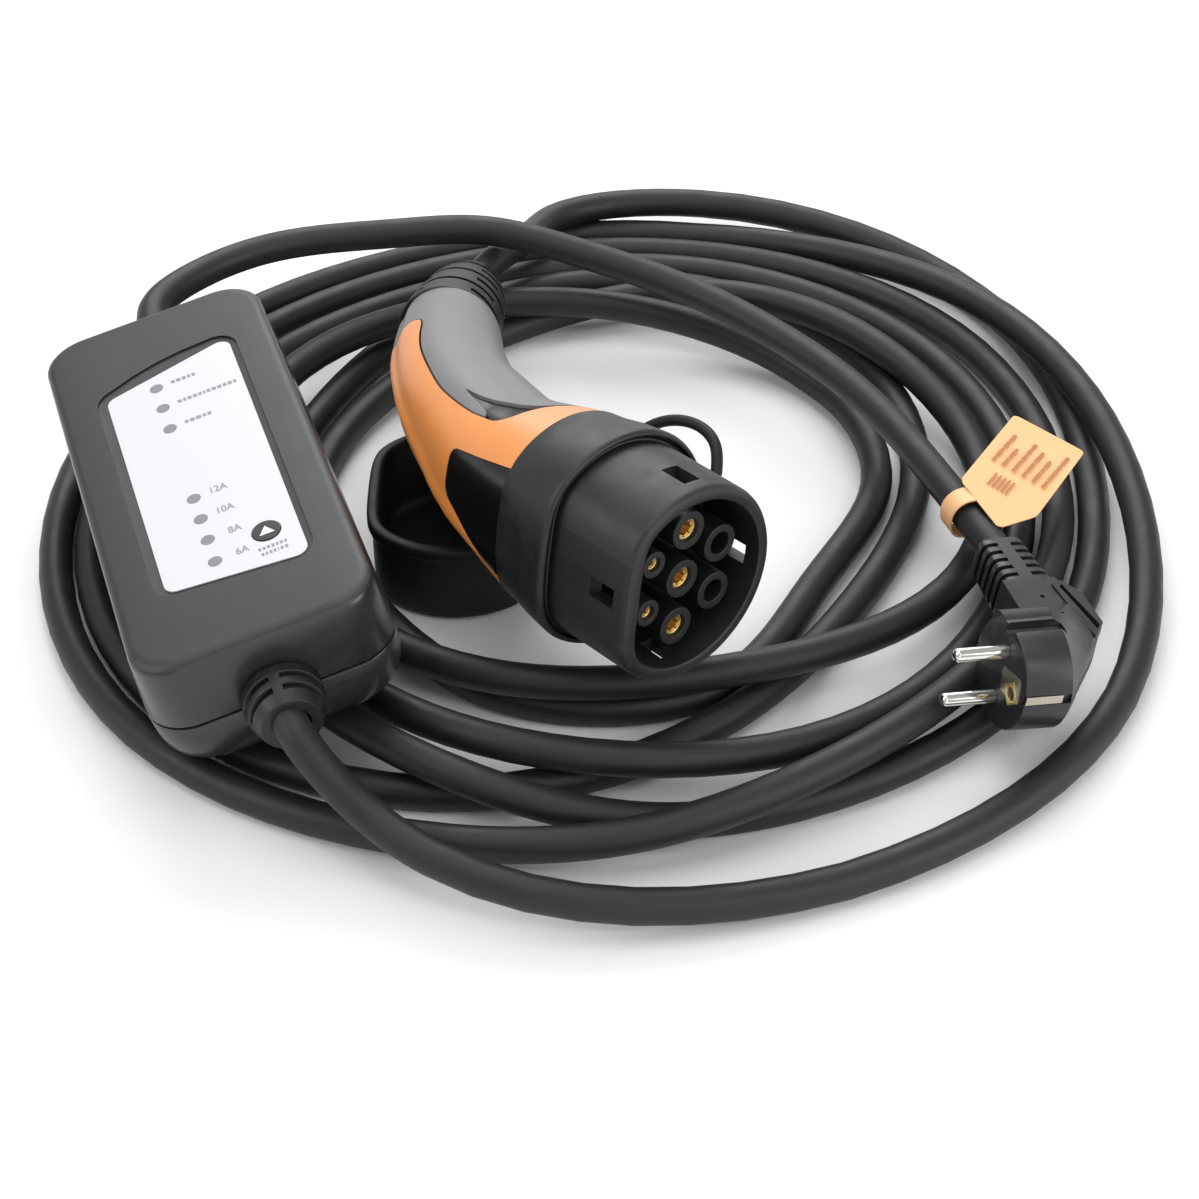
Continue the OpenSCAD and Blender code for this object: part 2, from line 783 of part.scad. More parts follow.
module clamp_screws() color("#b9bcc0") at_boot() translate([0, 0, -clamp_y - clamp_l / 2]) {
    for (side = [-1, 1]) translate([side * clamp_screw_x, 0, 0]) rotate([90, 0, 0]) {
        translate([0, 0, -clamp_head_y]) cylinder(d = clamp_screw_d, h = 2 * clamp_head_y + 1);
        translate([0, 0, clamp_head_y]) cylinder(d = clamp_head_d, h = clamp_head_h);
    }
}

// Cores from the rear of the contacts to the clamp, gathered along the handle: each place
// on the way has the handle's turn there
module connector_cores() color("#8a5a2b") at_connector() {
    starts = [[0, 0], [0, power_pitch], [signal_x, side_z], [signal_x, -side_z], [0, -power_pitch]];
    clamp = boot_at - (clamp_y + clamp_l + 1) * handle_end;
    gather = [[2, 88, 5], [14, 126, 23], [36, 162, 40], [clamp[0], clamp[1], boot_turn_in]];
    for (k = [0 : core_count - 1]) {
        u = core_ring * cos(core_angle(k));
        v = core_ring * sin(core_angle(k));
        x = starts[k][0];
        z = starts[k][1];
        route = concat(
            [[x, contact_l, z], [x * 0.9, contact_l + 14, z * 0.9]],
            [for (g = gather) [g[0] + u * cos(g[2]), g[1] - u * sin(g[2]), v]]
        );
        tube(route, core_d, 6, [0, 1, 0], handle_end);
    }
}

// Cap, open at the top

module protective_cap() color("#1f2022") in_frame() translate(cap_at) rotate(cap_turn + 180) {
    difference() {
        union() {
            linear_extrude(cap_h) d_outline(cap_r - cap_lip, cap_flat - cap_lip, flat_round + 2);
            translate([0, 0, cap_h - cap_lip_h]) linear_extrude(cap_lip_h)
                d_outline(cap_r, cap_flat, flat_round + 2);
        }
        translate([0, 0, cap_wall]) linear_extrude(cap_h)
            d_outline(cap_r - cap_lip - cap_wall, cap_flat - cap_lip - cap_wall, flat_round);
    }
}

// Mains plug, with its face at x = 0 and its pins towards -X

module plug_cylinder(d, from, to) translate([from, 0, 0]) rotate([0, 90, 0]) cylinder(d = d, h = to - from);

module plug_body() color("#1d1e20") at_plug() difference() {
    union() {
        plug_cylinder(plug_d, 0, plug_depth * 0.6);
        hull() {
            plug_cylinder(plug_d, plug_depth * 0.55, plug_depth * 0.62, $fn = 32);
            translate([plug_depth - 4, -plug_d / 2 + 3, -5]) cube([4, plug_d - 6, 10]);
        }
        hull() {
            translate([neck_x - neck_d / 2, 0, -neck_d / 2]) cube([neck_d, 4, neck_d]);
            translate([neck_x, neck_base_y + 8, 0]) rotate([-90, 0, 0]) cylinder(d = neck_d, h = 1, $fn = 32);
        }
        translate([neck_x, neck_base_y + 8, 0]) rotate([-90, 0, 0]) rotate_extrude() plug_neck();
    }
    for (z = [-1, 1])
        translate([0, 0, z * pin_pitch / 2]) plug_cylinder(pin_root_d + 2 * push, -1, pin_root + 1);
    translate([0, earth_y, 0])
        plug_cylinder(earth_bore_d + 2 * earth_wall + 2 * push, -1, earth_l + 2);
    for (side = [-1, 1])
        translate([-1, side * plug_d / 2 - (side > 0 ? clip_groove_t : 0), -clip_w / 2 - slip / 2])
            cube([clip_l + 3, clip_groove_t, clip_w + slip]);
    for (z = [-1, 1])
        translate([-1, -side_groove / 2, z * (plug_d / 2 + 1) - side_groove / 2])
            cube([plug_depth * 0.62 + 1, side_groove, side_groove]);
}

// Half outline of the ribbed neck, from its base to its tip
module plug_neck() {
    l = neck_tip_y - neck_base_y - 8;
    pitch = l * 0.8 / rib_count;
    difference() {
        polygon([[0, 0], [neck_d / 2, 0], [neck_d / 2 - 0.5, l * 0.15], [neck_tip_d / 2, l], [0, l]]);
        for (k = [0 : rib_count - 1])
            translate([neck_tip_d / 2 - 1, l * 0.12 + k * pitch]) square([6, pitch * 0.4]);
    }
}

module pin(z) color("#d9dadb") at_plug() translate([0, 0, z]) {
    plug_cylinder(pin_d, -pin_l + pin_tip, -pin_neck);
    plug_cylinder(pin_root_d, -pin_neck - 0.1, pin_root);
    translate([-pin_l + pin_tip, 0, 0]) rotate([0, -90, 0])
        cylinder(d1 = pin_d, d2 = pin_d * 0.6, h = pin_tip);
}

module live_pin() pin(pin_pitch / 2);

module neutral_pin() pin(-pin_pitch / 2);

module earth_clip() color("#c9cacc") at_plug() {
    for (side = [-1, 1])
        translate([0, side * (plug_d / 2 - clip_groove_t + push) - (side > 0 ? 0 : clip_t), -clip_w / 2])
            cube([clip_l, clip_t, clip_w]);
}

module earth_socket() color("#c9a24a") at_plug() translate([0, earth_y, 0]) difference() {
    union() {
        plug_cylinder(earth_bore_d + 2 * earth_wall, 0, earth_l);
        translate([-earth_flange_t, 0, 0]) rotate([45, 0, 0]) rotate([0, 90, 0])
            linear_extrude(earth_flange_t) square(earth_flange_w, center = true);
    }
    plug_cylinder(earth_bore_d, -2, earth_bore_l);
}

// Tag with a strap that is looped round the mains lead

module cable_tag() color("#f5be85") in_frame() {
    translate(tag_at) rotate(tag_turn) translate([0, -tag_w, 0]) linear_extrude(tag_t)
        polygon([[0, tag_cut[1]], [tag_cut[0], 0], [tag_l, 0], [tag_l, tag_w], [0, tag_w]]);
    translate(strap_at) rotate([90, 0, strap_turn]) difference() {
        cylinder(d = cable_d + 2 * slip + 4 * tag_t, h = strap_w, center = true);
        cylinder(d = cable_d + 2 * slip, h = strap_w + 2, center = true);
    }
}

lower_housing();
upper_housing();
housing_seal();
housing_screws();
label_overlay();
setting_button();
setting_switch();
status_lights();
display_board();
control_board();
power_relay();
current_transformer();
power_supply();
smoothing_capacitor();
mains_terminals();
load_terminals();
mains_gland();
load_gland();
mains_cores();
load_cores();
charging_cable();
mains_lead();
cap_tether();
nose_shroud();
contact_carrier();
phase_contact();
neutral_contact();
earth_contact();
pilot_contact();
proximity_contact();
connector_cores();
collar();
handle_cover();
grip_shell();
side_panel();
cable_clamp();
clamp_screws();
cable_boot();
protective_cap();
plug_body();
live_pin();
neutral_pin();
earth_clip();
earth_socket();
cable_tag();
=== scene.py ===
"""Charging cable for an electric car: a loose coil of black cable with a control box,
a seven-way car connector with its cap, and an angled mains plug."""

import math

import bmesh
import bpy
from bpy.props import FloatProperty, FloatVectorProperty, PointerProperty
from mathutils import Euler, Matrix, Vector


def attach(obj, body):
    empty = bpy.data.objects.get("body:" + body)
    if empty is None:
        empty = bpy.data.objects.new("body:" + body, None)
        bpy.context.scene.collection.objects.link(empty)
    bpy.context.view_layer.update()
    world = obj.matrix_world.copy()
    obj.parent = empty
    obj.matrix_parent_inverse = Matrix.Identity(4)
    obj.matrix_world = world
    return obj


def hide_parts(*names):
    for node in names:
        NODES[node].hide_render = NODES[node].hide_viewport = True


bl_info = {
    "name": "Charging cable",
    "version": (1, 0, 0),
    "blender": (4, 5, 0),
    "location": "3D View > Sidebar > Charging cable",
    "description": "Builds the visible pieces of a car charging cable round its CAD frame",
    "category": "Add Mesh",
}

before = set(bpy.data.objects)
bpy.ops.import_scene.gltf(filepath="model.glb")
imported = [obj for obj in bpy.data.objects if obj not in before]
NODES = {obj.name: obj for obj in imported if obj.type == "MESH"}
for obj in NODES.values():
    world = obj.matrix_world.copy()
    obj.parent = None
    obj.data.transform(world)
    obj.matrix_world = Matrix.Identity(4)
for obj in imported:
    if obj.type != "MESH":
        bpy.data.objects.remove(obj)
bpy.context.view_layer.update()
BODY = "charger"
MM = 0.001


def linear(text):
    """Linear colour of an sRGB hex value."""
    values = [int(text[i : i + 2], 16) / 255 for i in (1, 3, 5)]
    return [v / 12.92 if v <= 0.04045 else ((v + 0.055) / 1.055) ** 2.4 for v in values]


def size(name, about, default):
    """Length in metres that a user may change."""
    return FloatProperty(name=name, description=about, default=default, unit="LENGTH", precision=4)


def tint(name, about, default):
    """Colour that a user may change."""
    return FloatVectorProperty(
        name=name, description=about, default=linear(default), subtype="COLOR", min=0, max=1
    )


class ChargerSizes(bpy.types.PropertyGroup):
    """Sizes of the pieces, in metres"""

    cable_d: size("Cable", "Outer diameter of both black cables", 0.012)
    tether_d: size("Tether", "Diameter of the cap's tether", 0.004)
    box_w: size("Box width", "Width of the control box at its seam", 0.085)
    box_l: size("Box length", "Length of the control box at its seam", 0.195)
    box_h: size("Box height", "Height of the control box", 0.050)
    nose_r: size("Nose radius", "Outer radius of the connector's nose", 0.0345)
    nose_flat: size("Nose flat", "Distance from the nose's axis to its flat side", 0.0287)
    collar_r: size("Collar radius", "Radius of the collar's front lip", 0.0384)
    cap_r: size("Cap radius", "Outer radius of the cap", 0.038)
    cap_flat: size("Cap flat", "Distance from the cap's axis to its flat side", 0.032)
    cap_h: size("Cap height", "Height of the cap", 0.0325)


class ChargerColours(bpy.types.PropertyGroup):
    """Colours of the finishes"""

    cable: tint("Cable", "Matt jacket of the cables", "#1d1d1e")
    box: tint("Control box", "Textured plastic of the control box", "#29292b")
    label: tint("Label", "White film of the label", "#d3d3d6")
    print_grey: tint("Print", "Grey print on the label", "#8d8d91")
    soft: tint("Soft mouldings", "Strain reliefs and bend protector", "#151516")
    connector: tint("Connector", "Nose, collar and contact towers", "#1c1c1d")
    cover: tint("Cover", "Orange cover of the handle", "#e88f40")
    grip: tint("Grip", "Grey grip of the handle", "#737374")
    cap: tint("Cap", "Rubber of the cap and its tether", "#121213")
    plug: tint("Plug", "Moulded body of the mains plug", "#222223")
    tag: tint("Tag", "Film of the tag", "#f6bd86")
    floor: tint("Floor", "Paper that the object lies on", "#f3f3f4")


# Places, in millimetres from the coil's middle on the floor

COIL_AT = Vector((81.1, -10.9, 0))


def turned(by):
    """Matrix of a turn by X, then Y, then Z degrees."""
    return Euler([math.radians(t) for t in by], "XYZ").to_matrix().to_4x4()


def place(at, by):
    """Matrix of a piece that stands at a point and is turned."""
    return Matrix.Translation(COIL_AT + Vector(at)) @ turned(by)


AT_COIL = Matrix.Translation(COIL_AT)
AT_BOX = place((-130.6, 37.1, 19.2), (0, -12, -22))
AT_CONNECTOR = place((-59, -116, 71), (-4, 11.4, 0))
AT_PLUG = place((18, -187, 34), (0, 8, -25))
AT_CAP = place((-54.1, 9.8, 0), (0, 0, 320))
AT_TAG = place((78.8, -110.6, 40), (12.9, 6.8, 19.2))
AT_STRAP = place((76.7, -117.5, 30.1), (90, 0, -20.5))

# Routes of the cables, as in the part: turns of the coil as distance and height at ten
# even directions, and points in millimetres

FIRST_DIRECTION = 216
DIRECTIONS = 10
TURNS = [
    ([205, 213, 213, 199, 196, 191, 184, 192, 197, 198], [19, 6, 6, 18.5, 17, 6, 6, 6, 6, 6]),
    ([188, 178, 171, 177, 185, 177, 171, 176, 184, 183], [9, 18.5, 15, 6, 6, 6, 6, 6, 6, 6]),
    ([162, 129, 113, 124, 143, 151, 139, 120, 117, 113], [6, 6, 6, 6, 6, 6, 6, 6, 6, 10.5]),
    ([118, 121, 140, 149, 141, 137, 114, 104, 103, 100], [18, 18.5, 15, 10, 18.5, 11, 6, 6, 6, 6]),
    ([114, 115, 96, 109, 118, 112, 121, 134, 137, 131], [6, 6, 6, 6, 6, 17, 19, 18, 6, 7]),
    ([149, 158, 158, 162, 167, 164, 155, 158, 158, 149], [19, 14, 6, 6, 6, 6, 6, 6, 6, 12]),
    ([168, 176, 184, 191, 212, 203], [18.5, 6, 6, 6, 6, 15.5]),
]
CROSSINGS = {1: (234, 186, 15), 6: (234, 173, 9)}
GLAND_RUN = [(-169.2, -44.9, 43.2), (-178.8, -68.5, 43.2), (-175.5, -86, 30)]
BOOT_RUN = [(104, 146, 19.5), (80, 134, 25), (58, 123, 31), (40.1, 113.7, 34.6), (-4.6, 75.9, 46.3)]
LEAD_RUN = [
    (-101.4, 122.9, 43.2), (-93.2, 143.3, 43.2), (-83, 163, 43.5), (-60, 173, 43.5),
    (-20, 170, 44), (21, 146, 45), (50, 123, 45.5), (71, 95, 41), (92, 56, 35),
    (103, 8, 30.5), (100, -42, 30), (85, -95, 30), (67.6, -141.6, 30.4),
]
TETHER_RUN = [
    (-17, -86, 75), (-10.5, -78, 80), (-9, -66, 81), (-13, -54, 77), (-20, -43, 64),
    (-25, -35, 47), (-28, -29, 34), (-32, -22.5, 30.5),
]


def coil_route():
    """Points of the charging cable from the control box to the handle."""
    points = [Vector(p) for p in GLAND_RUN]
    for turn, (radii, heights) in enumerate(TURNS):
        for i, (radius, height) in enumerate(zip(radii, heights)):
            stops = [(FIRST_DIRECTION + i * 360 / DIRECTIONS, radius, height)]
            if i == 0 and turn in CROSSINGS:
                stops.append(CROSSINGS[turn])
            for angle, r, z in stops:
                a = math.radians(angle)
                points.append(Vector((r * math.cos(a), r * math.sin(a), z)))
    return points + [Vector(p) for p in BOOT_RUN]


def smooth_route(points, steps):
    """Curve through the points with an even bend, never lower than the points beside it."""
    points = [Vector(p) for p in points]
    last = len(points) - 1
    gaps = [(b - a).length for a, b in zip(points, points[1:])]
    # Bends of a natural spline at its points, by elimination
    bends = [Vector((0, 0, 0)) for _ in points]
    ratios = [0.0] * (last + 1)
    for i in range(1, last):
        left, right = gaps[i - 1], gaps[i]
        pull = 6 * ((points[i + 1] - points[i]) / right - (points[i] - points[i - 1]) / left)
        base = 2 * (left + right) - left * ratios[i - 1]
        ratios[i] = right / base
        bends[i] = (pull - left * bends[i - 1]) / base
    for i in range(last - 1, 0, -1):
        bends[i] = bends[i] - ratios[i] * bends[i + 1]
    out = []
    for i, gap in enumerate(gaps):
        for k in range(steps):
            after = gap * k / steps
            before = gap - after
            p = (bends[i] * before**3 + bends[i + 1] * after**3) / (6 * gap)
            p += (points[i] / gap - bends[i] * gap / 6) * before
            p += (points[i + 1] / gap - bends[i + 1] * gap / 6) * after
            p.z = max(p.z, min(points[i].z, points[i + 1].z))
            out.append(p)
    return out + [points[-1]]


# Materials


def add(tree, kind, values=None, links=None):
    """Adds a node, sets its sockets, and links other nodes' sockets to it."""
    made = tree.nodes.new(kind)
    for key, value in (values or {}).items():
        made.inputs[key].default_value = value
    for key, socket in (links or {}).items():
        tree.links.new(socket, made.inputs[key])
    return made


# Soft patches of tone and gloss: breadth in millimetres, and the part of the noise that is used
PATCH = 9
PATCH_LOW, PATCH_HIGH = 0.3, 0.7


def finish(name, colour, roughness, grain, depth, mottle=0.0, spread=0.0, **sockets):
    """Material with a fine grain in millimetres, soft patches of tone, and uneven gloss."""
    material = bpy.data.materials.new(name)
    material.use_nodes = True
    material.diffuse_color = (*colour, 1)
    tree = material.node_tree
    shader = tree.nodes["Principled BSDF"]
    shader.inputs["Base Color"].default_value = (*colour, 1)
    shader.inputs["Roughness"].default_value = roughness
    for key, value in sockets.items():
        shader.inputs[key.replace("_", " ")].default_value = value
    where = add(tree, "ShaderNodeTexCoord").outputs["Object"]
    noise = add(
        tree, "ShaderNodeTexNoise", {"Scale": 1 / (grain * MM), "Detail": 3, "Roughness": 0.6},
        {"Vector": where},
    )
    bump = add(
        tree, "ShaderNodeBump", {"Strength": 1, "Distance": depth * MM}, {"Height": noise.outputs["Fac"]}
    )
    tree.links.new(bump.outputs["Normal"], shader.inputs["Normal"])
    if mottle or spread:
        patches = add(
            tree, "ShaderNodeTexNoise", {"Scale": 1 / (PATCH * MM), "Detail": 4, "Roughness": 0.65},
            {"Vector": where},
        )
    if mottle:
        dark, light = [[c * f for c in colour] + [1] for f in (1 - mottle, 1 + mottle)]
        ramp = add(tree, "ShaderNodeValToRGB", links={"Fac": patches.outputs["Fac"]})
        low, high = ramp.color_ramp.elements
        low.position, high.position = PATCH_LOW, PATCH_HIGH
        low.color, high.color = dark, light
        tree.links.new(ramp.outputs["Color"], shader.inputs["Base Color"])
    if spread:
        gloss = add(
            tree, "ShaderNodeMapRange",
            {
                "From Min": PATCH_LOW, "From Max": PATCH_HIGH,
                "To Min": roughness - spread, "To Max": roughness + spread,
            },
            {"Value": patches.outputs["Fac"]},
        )
        tree.links.new(gloss.outputs["Result"], shader.inputs["Roughness"])
    return material


FINISHES = {}


def make_finishes(c):
    """All materials of the object, named for what the real ones are."""
    f = FINISHES
    # Extruded polyurethane jacket: matt with a broad soft sheen and a faint skin
    f["jacket"] = finish(
        "extruded_polyurethane_jacket", c.cable, 0.5, 0.7, 0.03, 0.12, 0.06, Specular_IOR_Level=0.42
    )
    # Spark-eroded ABS: a fine even grain that breaks up the gloss
    f["box"] = finish("textured_abs", c.box, 0.46, 0.5, 0.05, 0.06, 0.03, Specular_IOR_Level=0.55)
    # The same ABS on the side walls, where the mould was polished: clearer reflections
    f["box_side"] = finish("polished_abs", c.box, 0.27, 0.5, 0.008, 0.02, 0.01, Specular_IOR_Level=0.55)
    # Polyester label film: smooth satin white
    f["label"] = finish("polyester_label_film", c.label, 0.38, 1.2, 0.004)
    # Screen print on the film: flat grey ink
    f["print"] = finish("screen_print_grey", c.print_grey, 0.5, 0.5, 0.004)
    # Clear windows of the lamps, printed grey from behind: glossier than the film
    f["lamp"] = finish("printed_lamp_window", linear("#858588"), 0.25, 0.5, 0.004)
    # Moulded key cap: black and smoother than the box
    f["key"] = finish("moulded_black_key", linear("#1c1c1e"), 0.35, 0.4, 0.01)
    # Its sign: flat white ink
    f["sign"] = finish("screen_print_white", linear("#f2f2f0"), 0.45, 0.5, 0.004)
    # Soft PVC over the cables' ends: darker and a little waxy
    f["soft"] = finish("soft_pvc_moulding", c.soft, 0.46, 0.6, 0.04, 0.08, 0.05)
    # Glass-filled polyamide of the connector: matt with faint cloudy marks
    f["connector"] = finish("glass_filled_polyamide", c.connector, 0.46, 0.45, 0.04, 0.2, 0.08)
    # The same polyamide made near black and dull for deep in the mouth: painted shade
    f["inner"] = finish("glass_filled_polyamide_painted_shade", linear("#0e0e0f"), 0.55, 0.45, 0.04, 0.1, 0.05)
    # Satin polycarbonate blend of the cover: clean orange with a soft gloss
    f["cover"] = finish(
        "satin_orange_polycarbonate", c.cover, 0.42, 0.5, 0.008, 0.02, 0.03, Specular_IOR_Level=0.9,
        Coat_Weight=0.5, Coat_Roughness=0.4,
    )
    # Thermoplastic rubber of the grip: silky grey
    f["grip"] = finish(
        "silky_grey_elastomer", c.grip, 0.4, 0.5, 0.012, 0.03, 0.04, Specular_IOR_Level=0.6
    )
    # Smooth black polycarbonate of the side panel: the clearest gloss on the handle
    f["panel"] = finish("smooth_black_polycarbonate", linear("#0b0b0c"), 0.22, 0.6, 0.004)
    # Natural rubber of the cap: deep black with a dull bloom
    f["rubber"] = finish("black_rubber", c.cap, 0.55, 0.8, 0.05, 0.12, 0.06, Specular_IOR_Level=0.35)
    # Gold-plated brass of the sockets: warm and softly shining
    f["brass"] = finish("plated_brass", linear("#f3d592"), 0.36, 0.3, 0.01, 0.12, Metallic=1)
    # Bright nickel of the plug's turned pins: near a mirror
    f["nickel"] = finish("bright_nickel", linear("#e2e1da"), 0.13, 0.5, 0.003, Metallic=1)
    # Stamped strip of the earth contacts: duller than the turned pins
    f["sheet"] = finish("stamped_nickel_strip", linear("#b3ad9c"), 0.34, 0.4, 0.01, 0.1, Metallic=1)
    # Injected PVC of the plug: glossier than the cable, with an uneven skin
    f["plug"] = finish("moulded_plug_pvc", c.plug, 0.36, 1.4, 0.05, 0.08, 0.08)
    # Thin dyed polyester of the tag: pale orange satin
    f["tag"] = finish("orange_polyester_tag", c.tag, 0.45, 0.8, 0.01, 0.03)
    # Transfer ink on the tag: flat brown
    f["tag_print"] = finish("brown_ink", linear("#b07a4e"), 0.6, 0.5, 0.004)
    # Solder mask over the boards inside: even green satin
    f["board"] = finish("solder_mask", linear("#1f5a3a"), 0.4, 0.8, 0.01, 0.1)
    # Enamelled winding of the transformer: warm ribbed shine
    f["copper"] = finish("wound_copper", linear("#b87440"), 0.35, 0.6, 0.05, 0.1, Metallic=1)
    # Extruded insulation of the cores: plain brown
    f["core"] = finish("core_insulation", linear("#7c5330"), 0.5, 0.7, 0.02, 0.1)
    # Zinc-plated screws: soft cool shine
    f["steel"] = finish("zinc_plated_steel", linear("#b4b6b8"), 0.32, 0.4, 0.01, 0.05, Metallic=1)
    # Moulded terminal blocks: satin green
    f["terminal"] = finish("moulded_terminal_block", linear("#3b7a4b"), 0.5, 0.5, 0.02, 0.05)
    # Moulded cases of the components: plain dark satin
    f["moulded"] = finish("moulded_black_component", linear("#2a2a2c"), 0.45, 0.5, 0.02, 0.05)


# Pieces


SHARP = 32  # angle between faces, in degrees, that counts as an edge


def mesh_of(name, source):
    """Mesh from a bmesh, which is freed."""
    mesh = bpy.data.meshes.new(name)
    source.to_mesh(mesh)
    source.free()
    return mesh


def shown(name, data):
    """Object in the scene for a mesh, curve, lamp or camera."""
    made = bpy.data.objects.new(name, data)
    bpy.context.scene.collection.objects.link(made)
    return made


def evaluated(made):
    """Mesh of an object as its modifiers or its curve shape it."""
    return bpy.data.meshes.new_from_object(
        made.evaluated_get(bpy.context.evaluated_depsgraph_get())
    )


def piece(name, source, at, look, stands_for=(), bevel=0.0, sharp=SHARP, body=BODY):
    """Object from a mesh in millimetres at its place, with smooth faces and eased edges."""
    source.transform(Matrix.Scale(MM, 4) @ at)
    mesh = mesh_of(name, source)
    mesh.shade_smooth()
    mesh.set_sharp_from_angle(angle=math.radians(sharp))
    made = shown(name, mesh)
    mesh.materials.append(FINISHES[look])
    if bevel:
        eased = made.modifiers.new("eased_edges", "BEVEL")
        eased.width = bevel * MM
        eased.segments = 2
        eased.limit_method = "ANGLE"
        eased.angle_limit = math.radians(sharp)
        eased.harden_normals = True
    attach(made, body)
    if stands_for:
        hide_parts(*stands_for)
    return made


def partly(made, look, at, inside):
    """Gives a second finish to the faces whose middle, in millimetres at a place, passes a test."""
    made.data.materials.append(FINISHES[look])
    back = at.inverted() @ Matrix.Scale(1 / MM, 4)
    for face in made.data.polygons:
        if inside(back @ face.center):
            face.material_index = 1


def dressed(node, look, bevel):
    """Piece from the CAD node's own surface, with its facets joined and its edges eased."""
    source = bmesh.new()
    source.from_mesh(NODES[node].data)
    bmesh.ops.remove_doubles(source, verts=source.verts, dist=2e-6)
    bmesh.ops.dissolve_limit(
        source, angle_limit=math.radians(1), verts=source.verts, edges=source.edges
    )
    source.transform(Matrix.Scale(1 / MM, 4))
    return piece(node + "_dressed", source, Matrix.Identity(4), look, (node,), bevel)


ROUND_STEPS = 96  # points round the nose, the collar, the handle and the cap


def corners(points, radius, steps, bulge=(0, 0, 0, 0)):
    """Outline of a four-cornered shape with rounded corners. Its sides may bulge outwards."""
    points = [Vector(p) for p in points]
    arcs = []
    for i in range(4):
        before, at, after = [points[(i + k) % 4] for k in (-1, 0, 1)]
        a, b = (before - at).normalized(), (after - at).normalized()
        half = a.angle(b) / 2
        middle = at + (a + b).normalized() * radius / math.sin(half)
        start = at + a * radius / math.tan(half) - middle
        end = at + b * radius / math.tan(half) - middle
        first = math.atan2(start.y, start.x)
        sweep = (math.atan2(end.y, end.x) - first + math.pi) % (2 * math.pi) - math.pi
        angles = [first + sweep * k / (steps - 1) for k in range(steps)]
        arcs.append([middle + radius * Vector((math.cos(t), math.sin(t))) for t in angles])
    out = []
    for i, arc in enumerate(arcs):
        out += arc
        start, end = arc[-1], arcs[(i + 1) % 4][0]
        along = (end - start).normalized()
        for t in (0.25, 0.5, 0.75):
            out.append(start.lerp(end, t) + Vector((along.y, -along.x)) * bulge[i] * 4 * t * (1 - t))
    return out


def d_ring(radius, flat_at, power):
    """Round outline with one flat side towards -X. A lower power rounds its two corners more."""
    out = []
    for k in range(ROUND_STEPS):
        a = 2 * math.pi * k / ROUND_STEPS
        limit = flat_at / max(-math.cos(a), 1e-3)
        reach = (radius**-power + limit**-power) ** (-1 / power)
        out.append(Vector((reach * math.cos(a), reach * math.sin(a))))
    return out


def skin(rings, capped=True):
    """Surface over a row of rings: a circle is drawn, shaped to the first, and extruded on."""
    source = bmesh.new()
    order = source.verts.layers.int.new("order")
    verts = bmesh.ops.create_circle(source, segments=len(rings[0]), radius=1)["verts"]
    for k, v in enumerate(verts):
        v[order] = k
        v.co = rings[0][k]
    edges = first = list({e for v in verts for e in v.link_edges})
    for ring in rings[1:]:
        made = bmesh.ops.extrude_edge_only(source, edges=edges)["geom"]
        for v in made:
            if isinstance(v, bmesh.types.BMVert):
                v.co = ring[v[order]]
        edges = [e for e in made if isinstance(e, bmesh.types.BMEdge) and e.is_boundary]
    if capped:
        for loop in (first, edges):
            bmesh.ops.contextual_create(source, geom=loop)
    bmesh.ops.recalc_face_normals(source, faces=source.faces)
    return source


def flat(points, z):
    """Ring at a height."""
    return [Vector((p[0], p[1], z)) for p in points]


def deep(points, y):
    """Ring across the connector's axis, at a depth behind the contact faces."""
    return [Vector((p[0], y, p[1])) for p in points]


def cut(target, at, cutters, operation="DIFFERENCE"):
    """Cuts bmesh shapes, all at one place, out of a piece and keeps the result as its mesh."""
    helpers = []
    for source in cutters:
        source.transform(Matrix.Scale(MM, 4) @ at)
        helper = shown("cutter", mesh_of("cutter", source))
        helpers.append(helper)
        step = target.modifiers.new("cut", "BOOLEAN")
        step.operation = operation
        step.solver = "EXACT"
        step.object = helper
    rest = [m for m in target.modifiers if m.type != "BOOLEAN"]
    for m in rest:
        m.show_viewport = False
    shape = evaluated(target)
    for m in rest:
        m.show_viewport = True
    for m in [m for m in target.modifiers if m.type == "BOOLEAN"]:
        target.modifiers.remove(m)
    old = target.data
    target.data = shape
    bpy.data.meshes.remove(old)
    shape.shade_smooth()
    shape.set_sharp_from_angle(angle=math.radians(SHARP))
    for helper in helpers:
        mesh = helper.data
        bpy.data.objects.remove(helper)
        bpy.data.meshes.remove(mesh)


def block(low, high):
    """Box between two corners."""
    source = bmesh.new()
    bmesh.ops.create_cube(source, size=1)
    low, high = Vector(low), Vector(high)
    source.transform(Matrix.Translation((low + high) / 2) @ Matrix.Diagonal((*(high - low), 1)))
    return source


def oval(centre, half, power, count):
    """Rounded outline between an ellipse and a rectangle."""
    out = []
    for k in range(count):
        a = 2 * math.pi * k / count
        c, d = math.cos(a), math.sin(a)
        reach = (abs(c / half[0]) ** power + abs(d / half[1]) ** power) ** (-1 / power)
        out.append(Vector((centre[0] + reach * c, centre[1] + reach * d)))
    return out


def circle(radius, count=48, at=(0, 0)):
    """Round outline."""
    return oval(at, (radius, radius), 2, count)


# Turns that stand an outline up: drawn in depth and width, or in height and width
ALONG_X = Matrix(((0, 0, 1, 0), (1, 0, 0, 0), (0, 1, 0, 0), (0, 0, 0, 1)))
ALONG_Y = Matrix(((1, 0, 0, 0), (0, 0, 1, 0), (0, 1, 0, 0), (0, 0, 0, 1)))


def bar(outline, low, high, turn=None):
    """Solid between two levels, its outline drawn in the plane that the turn puts upright."""
    source = skin([flat(outline, low), flat(outline, high)])
    if turn:
        source.transform(turn)
        bmesh.ops.recalc_face_normals(source, faces=source.faces)
    return source


